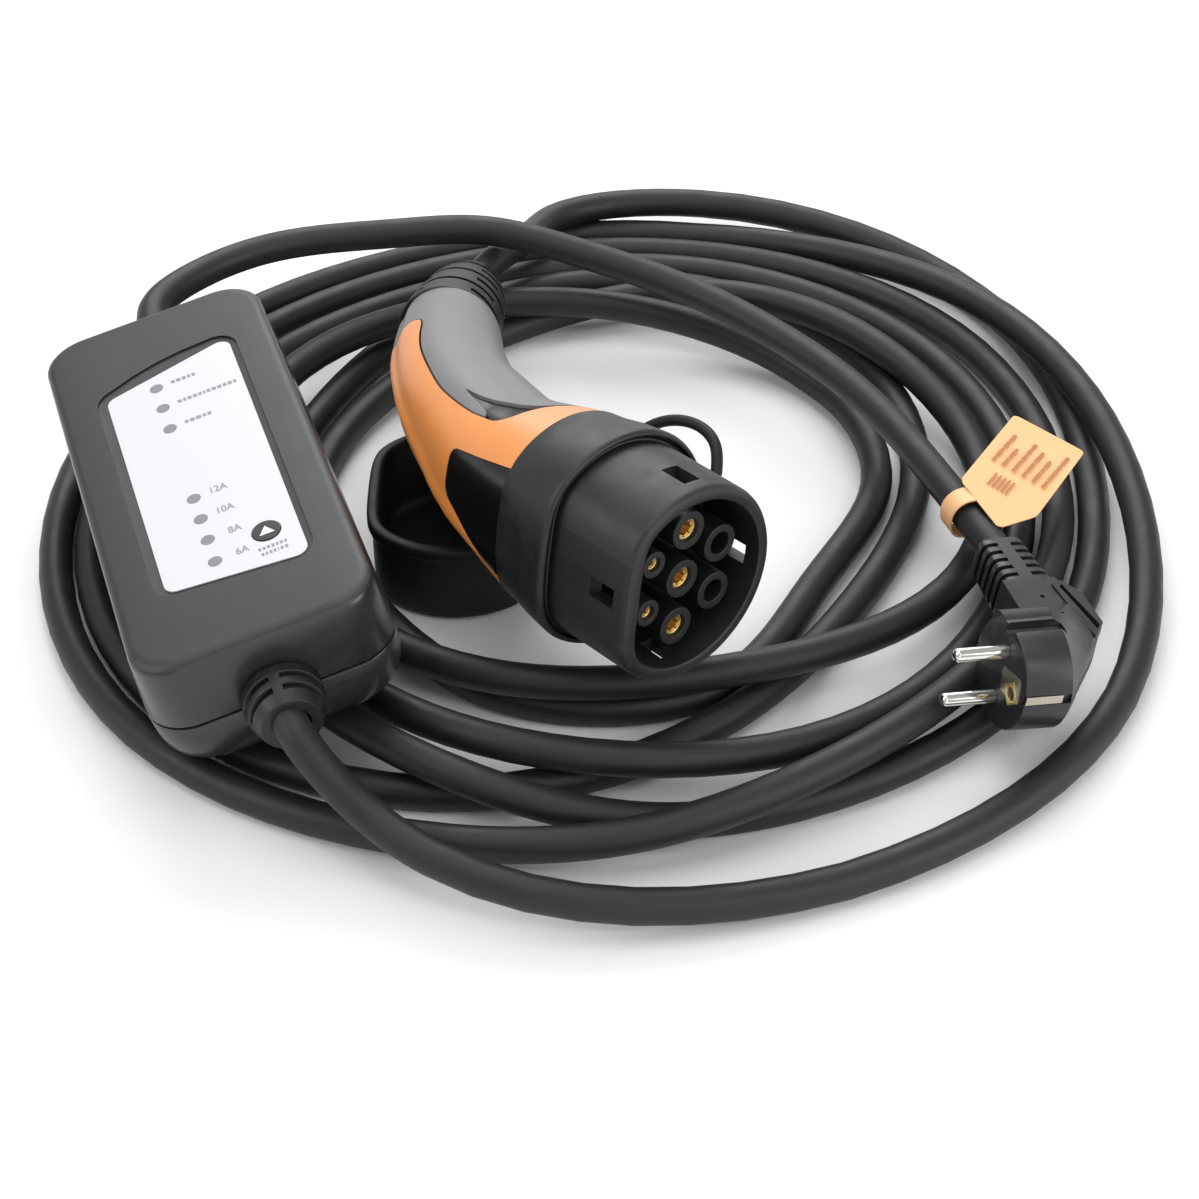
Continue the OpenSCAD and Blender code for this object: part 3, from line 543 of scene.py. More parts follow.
def cable(name, route, diameter, node, look, slot):
    """Curve of one spline along a route, as thick as its cable."""
    line = [(AT_COIL @ p) * MM for p in smooth_route(route, 8)]
    data = bpy.data.curves.new(name, "CURVE")
    data.dimensions = "3D"
    data.bevel_depth = diameter / 2
    data.bevel_resolution = 6
    data.use_fill_caps = True
    spline = data.splines.new("POLY")
    spline.points.add(len(line) - 1)
    for point, at in zip(spline.points, line):
        point.co = (*at, 1)
    spline.use_smooth = True
    made = shown(name, data)
    data.materials.append(FINISHES[look])
    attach(made, BODY)
    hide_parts(node)
    length = sum((b - a).length for a, b in zip(line, line[1:]))
    return made, line, length


# Camera: lens in millimetres, place and direction
CAMERA_LENS = 73.5
CAMERA_AT = COIL_AT + Vector((-470.4, -556.9, 568))
CAMERA_LOOKS = Vector((0.4975, 0.5825, -0.6428))
# Soft lamps, all turned to the middle: place and width in metres, power in watts
LAMPS = [
    ("window_back", (0.95, 1.15, 1.25), 1.5, 25),
    ("window_left", (-1.3, 0.5, 1.0), 0.9, 8),
    ("overhead", (-0.1, 0, 1.8), 1.3, 9),
    ("fill_front", (-0.7, -1.5, 0.6), 1.0, 3),
    ("fill_right", (0.75, -1.75, 0.7), 1.1, 13),
    ("strip_front", (-0.05, -1.25, 1.3), 0.3, 2.5),
]
STUDIO_WHITE = (0.96, 0.97, 1, 1)
STUDIO_STRENGTH = 0.52
PAPER_HALF = 4
PAPER_Z = -0.0002


class CHARGER_OT_stage(bpy.types.Operator):
    """Camera, lamps and the paper that the object lies on"""

    bl_idname = "charger.stage"
    bl_label = "Stage"

    def execute(self, context):
        scene = context.scene
        colours = scene.charger_colours
        make_finishes(colours)
        camera = shown("camera", bpy.data.cameras.new("camera"))
        camera.data.lens = CAMERA_LENS
        camera.location = CAMERA_AT * MM
        camera.rotation_euler = CAMERA_LOOKS.to_track_quat("-Z", "Y").to_euler()
        scene.camera = camera
        for name, at, width, power in LAMPS:
            lamp = bpy.data.lights.new(name, "AREA")
            lamp.size = width
            lamp.energy = power
            made = shown(name, lamp)
            made.location = at
            made.rotation_euler = (Vector() - Vector(at)).to_track_quat("-Z", "Y").to_euler()
        world = bpy.data.worlds.new("studio")
        scene.world = world
        world.use_nodes = True
        light = world.node_tree.nodes["Background"].inputs
        light["Color"].default_value = STUDIO_WHITE
        light["Strength"].default_value = STUDIO_STRENGTH
        paper = bmesh.new()
        bmesh.ops.create_grid(paper, x_segments=1, y_segments=1, size=PAPER_HALF)
        floor = shown("paper", mesh_of("paper", paper))
        floor.location.z = PAPER_Z
        floor.data.materials.append(finish("matt_white_paper", colours.floor, 0.9, 2.0, 0.02))
        scene.view_settings.view_transform = "Standard"
        return {"FINISHED"}


class CHARGER_OT_cables(bpy.types.Operator):
    """The charging cable in its coil, the mains lead and the cap's tether"""

    bl_idname = "charger.cables"
    bl_label = "Cables"

    def execute(self, context):
        s = context.scene.charger_sizes
        made, line, length = cable(
            "charging_cable_jacket", coil_route(), s.cable_d, "charging_cable", "jacket", "cable_jacket"
        )
        made, line, length = cable(
            "mains_lead_jacket", LEAD_RUN, s.cable_d, "mains_lead", "jacket", "cable_jacket"
        )
        made, line, length = cable(
            "cap_tether_loop", TETHER_RUN, s.tether_d, "cap_tether", "rubber", "soft_black"
        )
        return {"FINISHED"}


# Control box, in millimetres: edges and depths of its recess and label
RECESS_EDGE = [(-27.6, -63.4), (28.2, -69.2), (28.2, 69.6), (-27.6, 55.6)]
LABEL_EDGE = [(-23.2, -60.4), (24.9, -66.2), (24.9, 63.8), (-23.2, 51.3)]
RECESS_DEPTH, LABEL_DEPTH = 0.8, 0.3
SEAM_BELOW_HALF = 0.5
TOP_FILLET = 3.6
KEY_R = 4.9
AT_KEY = AT_BOX @ Matrix.Translation((13.9, -48.3, 0))
# Below the seam: height, distance in from the widest outline, radius of its corners
LOWER_RINGS = [
    (17, 0.35, 15.8), (12, 1.2, 15.4), (8, 2.6, 15), (5, 4.4, 14.6), (2.6, 6.4, 14), (1, 8.3, 13),
    (0.25, 9.6, 12.2), (0, 10.8, 11.5),
]


class CHARGER_OT_control_box(bpy.types.Operator):
    """Both housings of the control box with the strain reliefs"""

    bl_idname = "charger.control_box"
    bl_label = "Control box"

    def execute(self, context):
        s = context.scene.charger_sizes
        w, l, h = [v / MM for v in (s.box_w, s.box_l, s.box_h)]
        seam = h / 2 - SEAM_BELOW_HALF
        steps = 13

        def outline(z, inwards, radius):
            x, y = w / 2 - inwards, l / 2 - inwards
            return flat(corners([(-x, -y), (x, -y), (x, y), (-x, y)], radius, steps), z)

        # Both shells draw in at the seam, which leaves a groove between them
        lips = [(0.4, 1, 15), (0.5, 0.2, 15.8), (0.9, 0, 16)]
        rings = [outline(seam + z, inwards, radius) for z, inwards, radius in lips]
        for k in range(9):
            a = math.radians(90 * k / 8)
            down, inwards = TOP_FILLET * (1 - math.sin(a)), TOP_FILLET * (1 - math.cos(a))
            rings.append(outline(h - down, 1.4 + inwards, 14.5))
        # The recess has a crisp rim and a sloping floor, and its far side slants and bulges
        for inwards, down in ((-0.8, 0), (-0.55, 0.1), (-0.4, 0.38), (0, 0.5), (2.2, RECESS_DEPTH)):
            grown = [
                (x - math.copysign(inwards, x), y - math.copysign(inwards, y)) for x, y in RECESS_EDGE
            ]
            rings.append(flat(corners(grown, 7.5 - inwards, steps, (0, 0, 2.4, 0)), h - down))
        top = piece(
            "upper_shell", skin(rings), AT_BOX, "box", ("upper_housing",), sharp=50
        )
        cut(top, AT_KEY, [bar(circle(KEY_R + 0.4), h - 5, h + 1)])
        partly(top, "box_side", AT_BOX, lambda p: p.z < h - 1.4)

        rings = [outline(seam - z, inwards, radius) for z, inwards, radius in lips]
        rings += [outline(*row) for row in LOWER_RINGS]
        piece(
            "lower_shell", skin(rings), AT_BOX, "box_side", ("lower_housing",), sharp=50
        )
        for node in ("mains_gland", "load_gland"):
            dressed(node, "soft", 0.35)
        return {"FINISHED"}


# Letters, from the plain font: height of capitals, added weight and narrowing
CAPITALS, BOLDER, NARROWER = 0.7, 0.022, 0.82


def lettering(words, height, at):
    """Flat narrow letters as a mesh in millimetres, with their left end at a point."""
    data = bpy.data.curves.new("letters", "FONT")
    data.body = words
    data.size = height / CAPITALS
    data.offset = height * BOLDER
    data.align_y = "CENTER"
    helper = shown("letters", data)
    mesh = evaluated(helper)
    source = bmesh.new()
    source.from_mesh(mesh)
    source.transform(Matrix.Translation(at) @ Matrix.Diagonal((NARROWER, 1, 1, 1)))
    bpy.data.objects.remove(helper)
    bpy.data.curves.remove(data)
    bpy.data.meshes.remove(mesh)
    return source


def joined(sources):
    """One bmesh from several."""
    whole = bmesh.new()
    for source in sources:
        mesh = mesh_of("part", source)
        whole.from_mesh(mesh)
        bpy.data.meshes.remove(mesh)
    return whole


INK = 0.05  # how far print stands off its film
DASH_GAP = 0.55


def dashes(widths, height, at):
    """Row of small plain blocks, one line of print."""
    row = []
    x, y, z = at
    for width in widths:
        row.append(block((x, y - height / 2, z), (x + width, y + height / 2, z + INK)))
        x += width + DASH_GAP
    return row


# Lamps of the label, and each number with its place
LAMP_R = 2.45
LAMP_X = -5
LAMP_ROWS = (48.6, 36, 23.2, -18.7, -30.4, -42, -53.8)
NUMBERS = [("12A", 0.4, -17.9), ("10A", 0.4, -29.5), ("8A", 2.2, -41.4), ("6A", 2.2, -53.2)]
NUMBER_HEIGHT = 3.3
# Words: widths of their marks, height and place
WORDS = [
    ((1.4, 1.5, 1.5, 1.1, 1.2), 1.8, 0.6, 49.2),
    ((1.4, 1.1, 1.5, 1.5, 1.2, 0.7, 1.4, 1.5, 1.5, 1.3, 1.5, 1.1), 1.8, 0.6, 36.7),
    ((1.3, 1.7, 1.9, 1.2, 1.4), 1.8, 0.6, 23.9),
    ((0.9, 0.9, 1, 1, 0.8, 1, 0.8), 1.5, 9.4, -56.4),
    ((0.9, 0.8, 0.9, 0.8, 0.4, 1, 1), 1.5, 9.8, -59.2),
]


class CHARGER_OT_label(bpy.types.Operator):
    """The white label with its lights, numbers and button"""

    bl_idname = "charger.label"
    bl_label = "Label"

    def execute(self, context):
        h = context.scene.charger_sizes.box_h / MM
        low, high = h - RECESS_DEPTH, h - LABEL_DEPTH
        film = piece(
            "label_film", bar(corners(LABEL_EDGE, 4.2, 9), low + 0.02, high), AT_BOX,
            "label", ("label_overlay",), 0.08,
        )
        cut(film, AT_KEY, [bar(circle(KEY_R + 0.2), h - 5, h + 1)])
        dots = [bar(circle(LAMP_R, 32, (LAMP_X, y)), high, high + 0.06) for y in LAMP_ROWS]
        piece("lamp_windows", joined(dots), AT_BOX, "lamp", ("status_lights",))
        marks = [lettering(text, NUMBER_HEIGHT, (x, y, high + INK)) for text, x, y in NUMBERS]
        for widths, height, x, y in WORDS:
            marks += dashes(widths, height, (x, y, high))
        piece("label_print", joined(marks), AT_BOX, "print")
        piece(
            "setting_key", bar(circle(KEY_R), h - 3.6, h + 0.05), AT_KEY, "key",
            ("setting_button",), 0.25, body="button",
        )
        arrow = bmesh.new()
        bmesh.ops.create_circle(arrow, segments=3, radius=2.9, cap_ends=True)
        arrow.transform(Matrix.Translation((0, -0.5, h + 0.08)) @ Matrix.Diagonal((1.05, 0.95, 1, 1)))
        piece("setting_arrow", arrow, AT_KEY, "sign", body="button")
        return {"FINISHED"}


# Connector, in millimetres from the middle of its contact faces: depth runs backwards
NOSE_FRONT = -4.6
NOSE_WALL, NOSE_WALL_AT_FLAT = 4.9, 6
CARRIER_R, CARRIER_FLAT = 29.05, 23.55
LIP_DEPTH, LIP_FLAT = 30.4, 33.7
# Contacts with fingers: place and radius of the bore
FINGERS_AT = [(0, 17.5, 3), (0, 0, 3), (0, -17.5, 3), (-13.5, 8.75, 1.5), (-13.5, -8.75, 1.5)]
# The fingers' cone: depth, and radius as a share of the bore's
FINGER_PROFILE = [(9, 0.62), (3.4, 0.97), (2.2, 1.0), (2.2, 0.84), (3.6, 0.78), (9, 0.4)]


class CHARGER_OT_connector(bpy.types.Operator):
    """Nose, contacts and collar of the car connector"""

    bl_idname = "charger.connector"
    bl_label = "Connector"

    def execute(self, context):
        s = context.scene.charger_sizes
        r, f = s.nose_r / MM, s.nose_flat / MM
        inner_r, inner_f, front = r - NOSE_WALL, f - NOSE_WALL_AT_FLAT, NOSE_FRONT
        # The nose: its rim is rounded outside and inside, and its mouth narrows a little
        profile = [
            (48, r, f), (front + 2.4, r, f), (front + 1.3, r - 0.25, f - 0.25),
            (front + 0.4, r - 0.9, f - 0.9), (front, r - 1.9, f - 1.9),
            (front, inner_r + 0.7, inner_f + 0.7), (front + 0.3, inner_r + 0.2, inner_f + 0.2),
            (front + 0.9, inner_r, inner_f), (19, CARRIER_R, CARRIER_FLAT), (21, CARRIER_R, CARRIER_FLAT),
        ]
        rings = [deep(d_ring(a, b, 14), y) for y, a, b in profile]
        shroud = piece(
            "nose", skin(rings), AT_CONNECTOR, "connector", ("nose_shroud",), sharp=40
        )
        for quarter in range(4):
            window = block((20, 1.5, -3.4), (40, 12.4, 3.4))
            cut(shroud, AT_CONNECTOR @ turned((0, 90 * quarter, 0)), [window])
        # The faces inside the mouth take the darker copy of the polyamide: painted shade
        partly(
            shroud, "inner", AT_CONNECTOR,
            lambda p: p.y > front + 0.5 and math.hypot(p.x, p.z) < r - 3.5,
        )
        # The contact carrier takes the same darker copy: painted shade
        dressed("contact_carrier", "inner", 0.5)
        for wire in ("phase", "neutral", "earth", "pilot", "proximity"):
            dressed(wire + "_contact", "brass", 0.3)
        # Spring fingers: a slotted cone just inside each contact's mouth
        for x, z, mouth in FINGERS_AT:
            rings = [deep(circle(mouth * w, at=(x, z)), y) for y, w in FINGER_PROFILE]
            fingers = piece(
                "spring_fingers", skin(rings), AT_CONNECTOR, "brass", sharp=40
            )
            wide = mouth * 0.09
            middle = AT_CONNECTOR @ Matrix.Translation((x, 0, z))
            for k in range(4):
                slit = block((-4, 1, -wide), (4, 7.5, wide))
                cut(fingers, middle @ turned((0, 45 * k, 0)), [slit])

        # The collar: a rounded lip, a narrow groove and the step that the nose comes out of
        lip_r, lip_f, lip = s.collar_r / MM, LIP_FLAT, LIP_DEPTH
        profile = [
            (57, 34.3, 30.6), (56.4, 34.8, 31), (50, 35.5, 31.5), (42, lip_r - 1.2, 32.7),
            (lip + 3.2, lip_r - 0.1, lip_f - 0.1), (lip + 1.8, lip_r, lip_f),
            (lip + 0.9, lip_r - 0.25, lip_f - 0.25), (lip + 0.2, lip_r - 0.8, lip_f - 0.8),
            (lip, lip_r - 1.4, lip_f - 1.5), (lip + 0.25, lip_r - 1.9, lip_f - 2.1),
            (lip + 1.1, lip_r - 2.1, lip_f - 2.4), (lip + 3.2, lip_r - 2.2, lip_f - 2.6),
            (lip + 3.4, r + 0.9, f + 1), (lip + 1.9, r + 0.8, f + 0.8), (lip + 1.6, r + 0.4, f + 0.4),
            (lip + 1.6, r + 0.02, f + 0.02), (48, r + 0.02, f + 0.02),
        ]
        rings = [deep(d_ring(a, b, 12), y) for y, a, b in profile]
        piece(
            "collar_ring", skin(rings), AT_CONNECTOR, "connector", ("collar",), sharp=50
        )
        return {"FINISHED"}


# Handle: middle line, radius and distance to the flat side, as in the part
SPINE = [
    (0, 57, 34.5, 30.5), (0, 68, 32, 29), (0.5, 80, 29, 27.5), (2, 90, 27, 26.5), (5, 100, 26, 26),
    (11, 118, 24.5, 24.5), (17, 134, 23, 23), (25, 149, 22.2, 22.2), (34, 163, 21.4, 21.4),
    (46, 178, 20.2, 20.2), (58, 192, 18.4, 18.4), (67, 200, 17, 17), (76, 207, 15.6, 15.6),
]
# Edge of the grey grip on the handle, seen from above, clockwise
GRIP_EDGE = [
    (24.3, 169.4), (26, 173.6), (25.4, 178), (22, 183), (14, 190), (0, 200), (-24, 216), (-60, 240),
    (150, 240), (150, 58), (90, 57), (55, 57.5), (36, 59.5), (24, 61), (14, 63.2), (5.6, 66.4),
    (-0.8, 69.8), (-6.8, 73), (-11.6, 75.8), (-14, 79.4), (-14.4, 84), (-12.6, 96.4), (-9.1, 109.3),
    (-4.5, 122.8), (2.7, 138.1), (10.2, 151.7), (17.1, 161.2),
]
# Sunk wedge at the grip's front
WEDGE_EDGE = [
    (-3.9, 108.6), (-5.2, 99.6), (-5, 89.4), (-3.1, 78), (0.5, 71.5), (8, 66.5), (16, 60), (-8, 60),
    (-22, 74), (-17, 85), (-11.8, 88), (-6.9, 101),
]
# Side panel, as depth and height on the flat side
PANEL_EDGE = [(50, -20.6), (92.6, -4.6), (92.2, 12.4), (50, 22.6)]
# Bend protector: its place on the end of the middle line, distance along it with radius, and slots
AT_BOOT = AT_CONNECTOR @ Matrix.Translation((76, 207, 0)) @ turned((0, 90, 39.4))
BOOT_START = -30
SLOT_ROWS, SLOT_PITCH, SLOT_WIDTH, SLOT_DEPTH, SLOT_SPAN = 7, 6.4, 2.4, 3.2, 122
BOOT_PROFILE = [
    (BOOT_START, 5), (BOOT_START, 18.6), (-29.6, 19.1), (-20, 18.7), (-10, 18), (0, 16.7), (8, 15),
    (15, 12.8), (20, 10.8), (22.4, 9.5), (23, 8.7), (23, 6.1), (10, 5),
]
# Soft ridge along the cover: depth and height of its crest
RIDGE = [(57, -13), (85, -11.4), (104, -6.3), (126, -2.4), (148, 0.5), (215, 1)]
RIDGE_RISE, RIDGE_BREADTH = 1.5, 0.13
BEYOND = 60  # clear of the handle, for cutters


def between(table, x):
    """Value read from a table of pairs."""
    for (x0, y0), (x1, y1) in zip(table, table[1:]):
        if x <= x1:
            return y0 + (y1 - y0) * max(x - x0, 0) / (x1 - x0)
    return table[-1][1]


def closed_curve(points, steps):
    """Smooth closed outline through points."""
    out = []
    n = len(points)
    for i in range(n):
        p0, p1, p2, p3 = [Vector(points[(i + k) % n]) for k in (-1, 0, 1, 2)]
        for k in range(steps):
            t = k / steps
            out.append(
                0.5 * (2 * p1 + (p2 - p0) * t + (2 * p0 - 5 * p1 + 4 * p2 - p3) * t**2
                       + (3 * p1 - p0 - 3 * p2 + p3) * t**3)
            )
    return out


def inset(points, by):
    """Outline moved inwards, for one that runs clockwise."""
    out = []
    n = len(points)
    for i in range(n):
        along = (points[(i + 1) % n] - points[i - 1]).normalized()
        out.append(points[i] + by * Vector((along.y, -along.x)))
    return out


def ring_slot(z, wide, inner, outer, middle, span):
    """Cutter for a slot that runs round a part, centred on an angle in degrees."""
    rings = []
    for k in range(13):
        a = math.radians(middle + span * (k / 12 - 0.5))
        corner = [(inner, z), (outer, z), (outer, z + wide), (inner, z + wide)]
        rings.append([Vector((r * math.cos(a), r * math.sin(a), at)) for r, at in corner])
    return skin(rings)


class CHARGER_OT_handle(bpy.types.Operator):
    """Orange cover, grey grip, side panel and bend protector of the handle"""

    bl_idname = "charger.handle"
    bl_label = "Handle"

    def execute(self, context):
        stations = smooth_route([(x, y, 0) for x, y, _, _ in SPINE], 5)
        widths = smooth_route([(a, b, 0) for _, _, a, b in SPINE], 5)

        def body(shrink):
            rings = []
            for i, (at, (radius, flat_at, _)) in enumerate(zip(stations, widths)):
                ahead = stations[min(i + 1, len(stations) - 1)] - stations[max(i - 1, 0)]
                side = Vector((0, 0, 1)).cross(ahead.normalized())
                ring = d_ring(radius - shrink, flat_at - shrink, 12)
                crest = math.asin(between(RIDGE, at.y) / flat_at)
                for p in ring:
                    away = abs(math.atan2(p.y, -p.x) - crest)
                    p *= 1 + RIDGE_RISE * math.exp(-((away / RIDGE_BREADTH) ** 2)) / p.length
                rings.append([at - side * p.x + Vector((0, 0, p.y)) for p in ring])
            return skin(rings)

        grip_line = closed_curve(GRIP_EDGE, 6)
        wedge_line = closed_curve(WEDGE_EDGE, 4)
        panel_line = corners(PANEL_EDGE, 5, 9)

        def panel_block(by):
            ring = inset(panel_line, by)
            return skin([[Vector((x, p.x, p.y)) for p in ring] for x in (-BEYOND, -14)])

        cover = piece(
            "orange_cover", body(0), AT_CONNECTOR, "cover", ("handle_cover",), 0.55, 40
        )
        cut(cover, AT_CONNECTOR, [bar(grip_line, -BEYOND, BEYOND), panel_block(0)])
        # Grip and panel stand a little under the cover, with a gap between them
        grip = piece(
            "grey_grip", body(0.1), AT_CONNECTOR, "grip", ("grip_shell",), 0.5, 40
        )
        cut(grip, AT_CONNECTOR, [bar(inset(grip_line, 0.7), -BEYOND, BEYOND)], "INTERSECT")
        cut(grip, AT_CONNECTOR, [bar(wedge_line, 0, BEYOND)])
        panel = piece(
            "black_panel", body(0.15), AT_CONNECTOR, "panel", ("side_panel",), 0.25, 40
        )
        cut(panel, AT_CONNECTOR, [panel_block(-0.3)], "INTERSECT")
        # Dark shell under all three, seen in their seams and in the wedge
        shell = piece("seam_shell", body(1.3), AT_CONNECTOR, "panel", sharp=60)
        for made in (grip, shell):
            cut(made, AT_BOOT, [block((-40, -40, BOOT_START + 0.3), (40, 40, BEYOND))])

        # The bend protector: its slots alternate between top and sides
        rings = [flat(circle(radius, 72), z) for z, radius in BOOT_PROFILE]
        boot = piece(
            "bend_protector", skin(rings), AT_BOOT, "soft", ("cable_boot",), sharp=40
        )
        slots = []
        for row in range(SLOT_ROWS):
            z = BOOT_START + 4 + SLOT_PITCH * row
            floor = between(BOOT_PROFILE, z) - SLOT_DEPTH
            for half in (0, 180):
                middle = half + 90 * ((row + 1) % 2) - 8
                slots.append(ring_slot(z, SLOT_WIDTH, floor, 24, middle, SLOT_SPAN))
        cut(boot, AT_BOOT, slots)
        return {"FINISHED"}


class CHARGER_OT_cap(bpy.types.Operator):
    """Rubber cap, lying open beside the handle"""

    bl_idname = "charger.cap"
    bl_label = "Cap"

    def execute(self, context):
        s = context.scene.charger_sizes
        r, f, h = s.cap_r / MM, s.cap_flat / MM, s.cap_h / MM
        # Height and distance in from the outside: up the outer wall, over the lip and down inside
        profile = [
            (0, 5.5), (0.1, 4), (0.7, 2.7), (2, 1.9), (4, 1.6), (h - 6, 1.5), (h - 5.2, 1.2),
            (h - 4.6, 0.3), (h - 3.6, 0), (h - 1.4, 0), (h - 0.5, 0.3), (h, 1.1), (h, 3.2),
            (h - 0.4, 4.1), (h - 1.6, 4.5), (8, 4.5), (5, 4.9), (3.6, 6.2), (3, 8.5),
        ]
        rings = [flat(d_ring(r - inwards, f - inwards, 16), z) for z, inwards in profile]
        piece("rubber_cap", skin(rings), AT_CAP, "rubber", ("protective_cap",), sharp=60)
        return {"FINISHED"}


# Mains plug, in millimetres: X runs back from its face, Y up its neck
PIN_PITCH, PIN_R, PIN_ROOT_R = 19, 2.4, 2
# Round front that turns into the wedge of the back: depth, middle, half sizes and squareness
PLUG_BODY = [
    (0, (0, 0), (17.7, 17.7), 2), (0.3, (0, 0), (18.4, 18.4), 2), (1, (0, 0), (18.7, 18.7), 2),
    (16.6, (0, 0), (18.9, 18.9), 2), (17.4, (0.2, 0.1), (18.4, 18.2), 2),
    (20, (1.4, 0.8), (16.8, 15.4), 2.1), (25, (5.4, 2.6), (14.8, 10.6), 2.6),
    (31, (10.8, 4.4), (13.4, 6), 4), (36, (15.6, 5.6), (10.6, 3.4), 6), (39, (17.8, 6), (8.4, 2.4), 8),
    (39.8, (18, 6.1), (7.8, 2), 8),
]
# Neck, a rounded box round the lead: place along it and half sizes
PLUG_NECK = [(14, 9.3, 8.9), (37, 9.2, 8.9), (60, 8.3, 8), (61.8, 7.9, 7.6), (62.8, 7, 6.8)]
BACK_PLATE = [(34.2, 4), (39.9, 10.8), (39.4, 26.7), (34.9, 34), (33.8, 37), (14.3, 37), (14.3, 6)]
BACK_RIM = [(33, 10), (34.5, 4.4), (40, 10.8), (39.5, 26.7), (34.9, 34.2), (30.9, 32.6)]
BACK_GROOVE = [(36.6, 7.6), (38.4, 10), (34.3, 32), (32.9, 31.2)]
# Slots of the neck: each runs over the top and down one side
NECK_SLOTS = (
    [(11, 12), (21.7, 12), (21.7, 6.9), (18, 6.9), (18, -7), (11, -7)],
    [(26.6, 12), (38, 12), (38, -7), (31.4, -7), (31.4, 6.9), (26.6, 6.9)],
)
NECK_SLOT_ROWS, NECK_SLOT_FIRST, NECK_SLOT_PITCH = 5, 57.4, 4.35
PIN_PROFILE = [
    (PIN_ROOT_R, -9), (PIN_ROOT_R, 0.3), (PIN_R, 0.4), (PIN_R, 17.4), (2.33, 17.9), (2.1, 18.4),
    (1.7, 18.8), (1.2, 19), (0.4, 19.05),
]


class CHARGER_OT_plug(bpy.types.Operator):
    """Mains plug: round front, flat back plate, ribbed neck, pins and earth contacts"""

    bl_idname = "charger.plug"
    bl_label = "Plug"

    def execute(self, context):
        count = 64
        rings = []
        for x, middle, half, power in PLUG_BODY:
            rings.append([Vector((x, p.x, p.y)) for p in oval(middle, half, power, count)])
        body = piece(
            "plug_moulding", skin(rings), AT_PLUG, "plug", ("plug_body",), 0.45, 35
        )
        neck = []
        for y, half, tall in PLUG_NECK:
            neck.append([Vector((p.x, y, p.y)) for p in oval((24.6, 0.1), (half, tall), 6, count)])
        shoulder = bar(oval((9, 11.7), (5.6, 6.2), 2.4, 32), 0.2, 17.4, ALONG_X)
        added = [bar(BACK_PLATE, 3.2, 9), skin(neck), bar(BACK_RIM, 4, 9.7), shoulder]
        cut(body, AT_PLUG, added, "UNION")
        slots = []
        for k in range(NECK_SLOT_ROWS):
            y = NECK_SLOT_FIRST - NECK_SLOT_PITCH * k
            slots += [bar(ring, y - 1, y + 1, ALONG_Y) for ring in NECK_SLOTS]
        holes = [
            joined(slots),
            bar(BACK_GROOVE, 7.4, 12),
            bar(circle(0.8, 20, (25.1, 27.2)), 5, 12),
            bar(circle(0.8, 20, (26.5, 15.3)), 5, 12),
            # Guide grooves, and slots of the earth contacts
            bar(oval((1.4, 19.5), (2.9, 5), 3.5, 24), -2, 19.5, ALONG_X),
            bar(oval((0, -19.5), (2.9, 5), 3.5, 24), -2, 19.5, ALONG_X),
            block((-1, -22, 1.9), (16.8, -17.2, 5.3)),
            block((-1, 17.2, -1.7), (16.8, 22, 1.7)),
        ]
        cut(body, AT_PLUG, holes)

        strips = [block((0.4, -18.6, 2), (13.6, -18, 5.2)), block((0.4, 18, -1.6), (13.6, 18.6, 1.6))]
        piece("earth_strips", joined(strips), AT_PLUG, "sheet", ("earth_clip",), 0.15)
        tilt = Matrix.Rotation(math.radians(-14), 4, "X")
        bridge = piece(
            "earth_plate", bar(oval((-8.6, 0), (6.4, 4.6), 7, 40), -0.5, 0.1, tilt @ ALONG_X),
            AT_PLUG, "sheet", (), 0.12,
        )
        cut(bridge, AT_PLUG, [bar(circle(2.5, 32, (-9.9, 0)), -3, 3, ALONG_X)])
        dressed("earth_socket", "brass", 0.15)
        along_pin = turned((0, -90, 0))
        for name, node, side in (("pin_live", "live_pin", 1), ("pin_neutral", "neutral_pin", -1)):
            rings = [flat(circle(r), x) for r, x in PIN_PROFILE]
            at = AT_PLUG @ Matrix.Translation((0, 0, side * PIN_PITCH / 2)) @ along_pin
            piece(name, skin(rings), at, "nickel", (node,), sharp=50)
        return {"FINISHED"}


# Tag, in millimetres: outline from its tip, thickness, and rows of marks by their widths
TAG_EDGE = [(0.3, -0.9), (-12.6, -21.6), (-11.6, -23.6), (3.8, -30.6), (57.4, -28.5), (56.4, 1.1)]
TAG_THICK = 0.5
TAG_ROWS = ((5, 9, 4, 7), (8, 3, 6), (4, 7, 9), (9, 5, 4, 4), (6, 8), (3, 7, 5, 6))
# Strap: outer ring over inner, as growth and half width
STRAP = ((0, 4), (0.7, 4), (0.7, -4), (0, -4), (0, 4))


def bow(x):
    """Height of the tag's film, which is a little bowed, as a loose tag is."""
    return 0.9 * math.cos((x - 22) / 35 * math.pi / 2) - 0.9


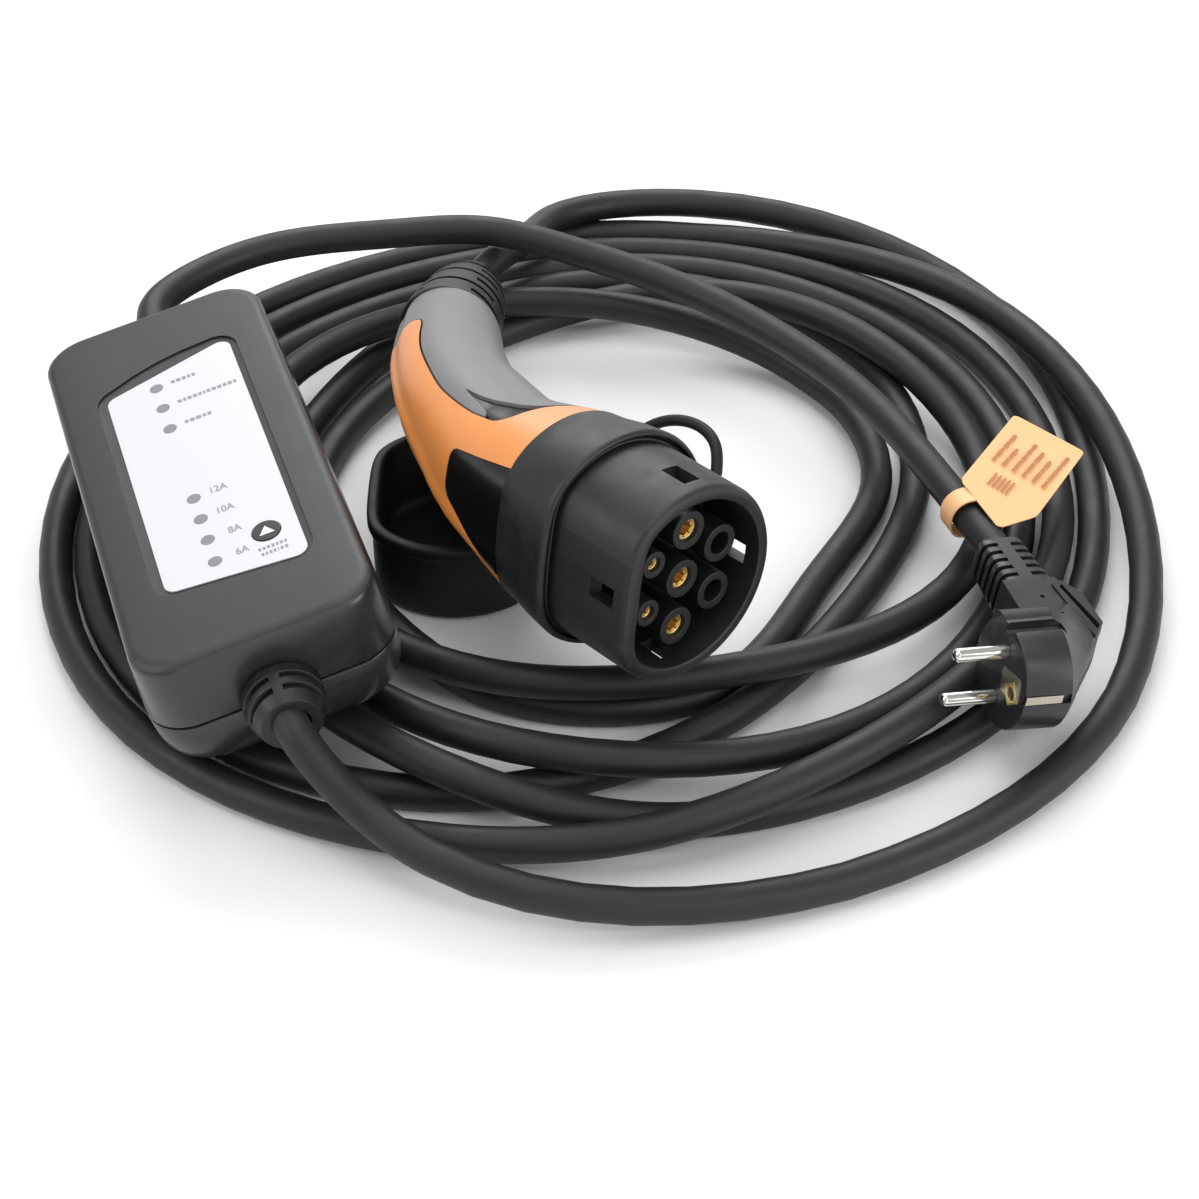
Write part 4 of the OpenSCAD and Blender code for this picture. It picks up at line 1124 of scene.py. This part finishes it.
class CHARGER_OT_tag(bpy.types.Operator):
    """Orange tag with rows of plain marks, on its strap"""

    bl_idname = "charger.tag"
    bl_label = "Tag"

    def execute(self, context):
        rounded = []
        for i, at in enumerate(TAG_EDGE):
            at = Vector(at)
            before, after = Vector(TAG_EDGE[i - 1]), Vector(TAG_EDGE[(i + 1) % len(TAG_EDGE)])
            radius = min(2.6, (before - at).length * 0.3, (after - at).length * 0.3)
            start, end = [at + (p - at).normalized() * radius for p in (before, after)]
            for t in (0, 0.25, 0.5, 0.75, 1):
                rounded.append(start.lerp(at, t).lerp(at.lerp(end, t), t))
        rings = [[Vector((p.x, p.y, z + bow(p.x))) for p in rounded] for z in (0, TAG_THICK)]
        piece("tag_film", skin(rings), AT_TAG, "tag", ("cable_tag",), 0.12)
        marks = []
        for k, words in enumerate(TAG_ROWS):
            marks += dashes(words, 1.3, (21, -25.4 + 4.1 * k, 0))
        for k in range(5):
            marks += dashes((9,), 0.8, (6, -16.6 + 1.8 * k, 0))
        print_mesh = joined(marks)
        bmesh.ops.subdivide_edges(print_mesh, edges=list(print_mesh.edges), cuts=2, use_grid_fill=True)
        for v in print_mesh.verts:
            v.co.z += TAG_THICK + 0.03 + bow(v.co.x)
        piece("tag_marks", print_mesh, AT_TAG, "tag_print")

        # Strap: a flat band bent round the lead, longer across than the lead is thick
        band = []
        for grow, half in STRAP:
            band.append(flat(oval((0, 0), (7.4 + grow, 7.6 + grow), 2.3, 48), half))
        ring = skin(band, False)
        bmesh.ops.remove_doubles(ring, verts=ring.verts, dist=0.001)
        bmesh.ops.recalc_face_normals(ring, faces=ring.faces)
        piece("tag_strap", ring, AT_STRAP, "tag", (), 0.12)
        return {"FINISHED"}


class CHARGER_OT_inside(bpy.types.Operator):
    """Finishes of the pieces that keep their CAD surface"""

    bl_idname = "charger.inside"
    bl_label = "Inner pieces"

    def execute(self, context):
        looks = {
            "board": ("display_board", "control_board"),
            "moulded": (
                "power_relay", "power_supply", "smoothing_capacitor", "setting_switch", "cable_clamp",
            ),
            "terminal": ("mains_terminals", "load_terminals"),
            "copper": ("current_transformer",),
            "core": ("mains_cores", "load_cores", "connector_cores"),
            "steel": ("housing_screws", "clamp_screws"),
            "rubber": ("housing_seal",),
        }
        for look, names in looks.items():
            for name in names:
                for slot in NODES[name].material_slots:
                    slot.material = FINISHES[look]
        return {"FINISHED"}


class CHARGER_PT_panel(bpy.types.Panel):
    """Lists the pieces that can be built"""

    bl_idname = "CHARGER_PT_panel"
    bl_label = "Charging cable"
    bl_space_type = "VIEW_3D"
    bl_region_type = "UI"
    bl_category = "Charging cable"

    def draw(self, context):
        for operator in OPERATORS:
            self.layout.operator(operator.bl_idname)
        for group in (context.scene.charger_sizes, context.scene.charger_colours):
            column = self.layout.column(align=True)
            for name in group.__annotations__:
                column.prop(group, name)


# In the order in which they run
OPERATORS = [
    CHARGER_OT_stage, CHARGER_OT_control_box, CHARGER_OT_label, CHARGER_OT_connector,
    CHARGER_OT_handle, CHARGER_OT_cap, CHARGER_OT_plug, CHARGER_OT_tag, CHARGER_OT_cables,
    CHARGER_OT_inside,
]
CLASSES = [ChargerSizes, ChargerColours, *OPERATORS, CHARGER_PT_panel]


def register():
    """Adds the classes and the two groups of settings."""
    for cls in CLASSES:
        bpy.utils.register_class(cls)
    bpy.types.Scene.charger_sizes = PointerProperty(type=ChargerSizes)
    bpy.types.Scene.charger_colours = PointerProperty(type=ChargerColours)


def unregister():
    """Takes them away again."""
    del bpy.types.Scene.charger_sizes
    del bpy.types.Scene.charger_colours
    for cls in reversed(CLASSES):
        bpy.utils.unregister_class(cls)


def main():
    """Runs every operator."""
    register()
    for operator in OPERATORS:
        group, name = operator.bl_idname.split(".")
        getattr(getattr(bpy.ops, group), name)()


if __name__ == "__main__":
    main()
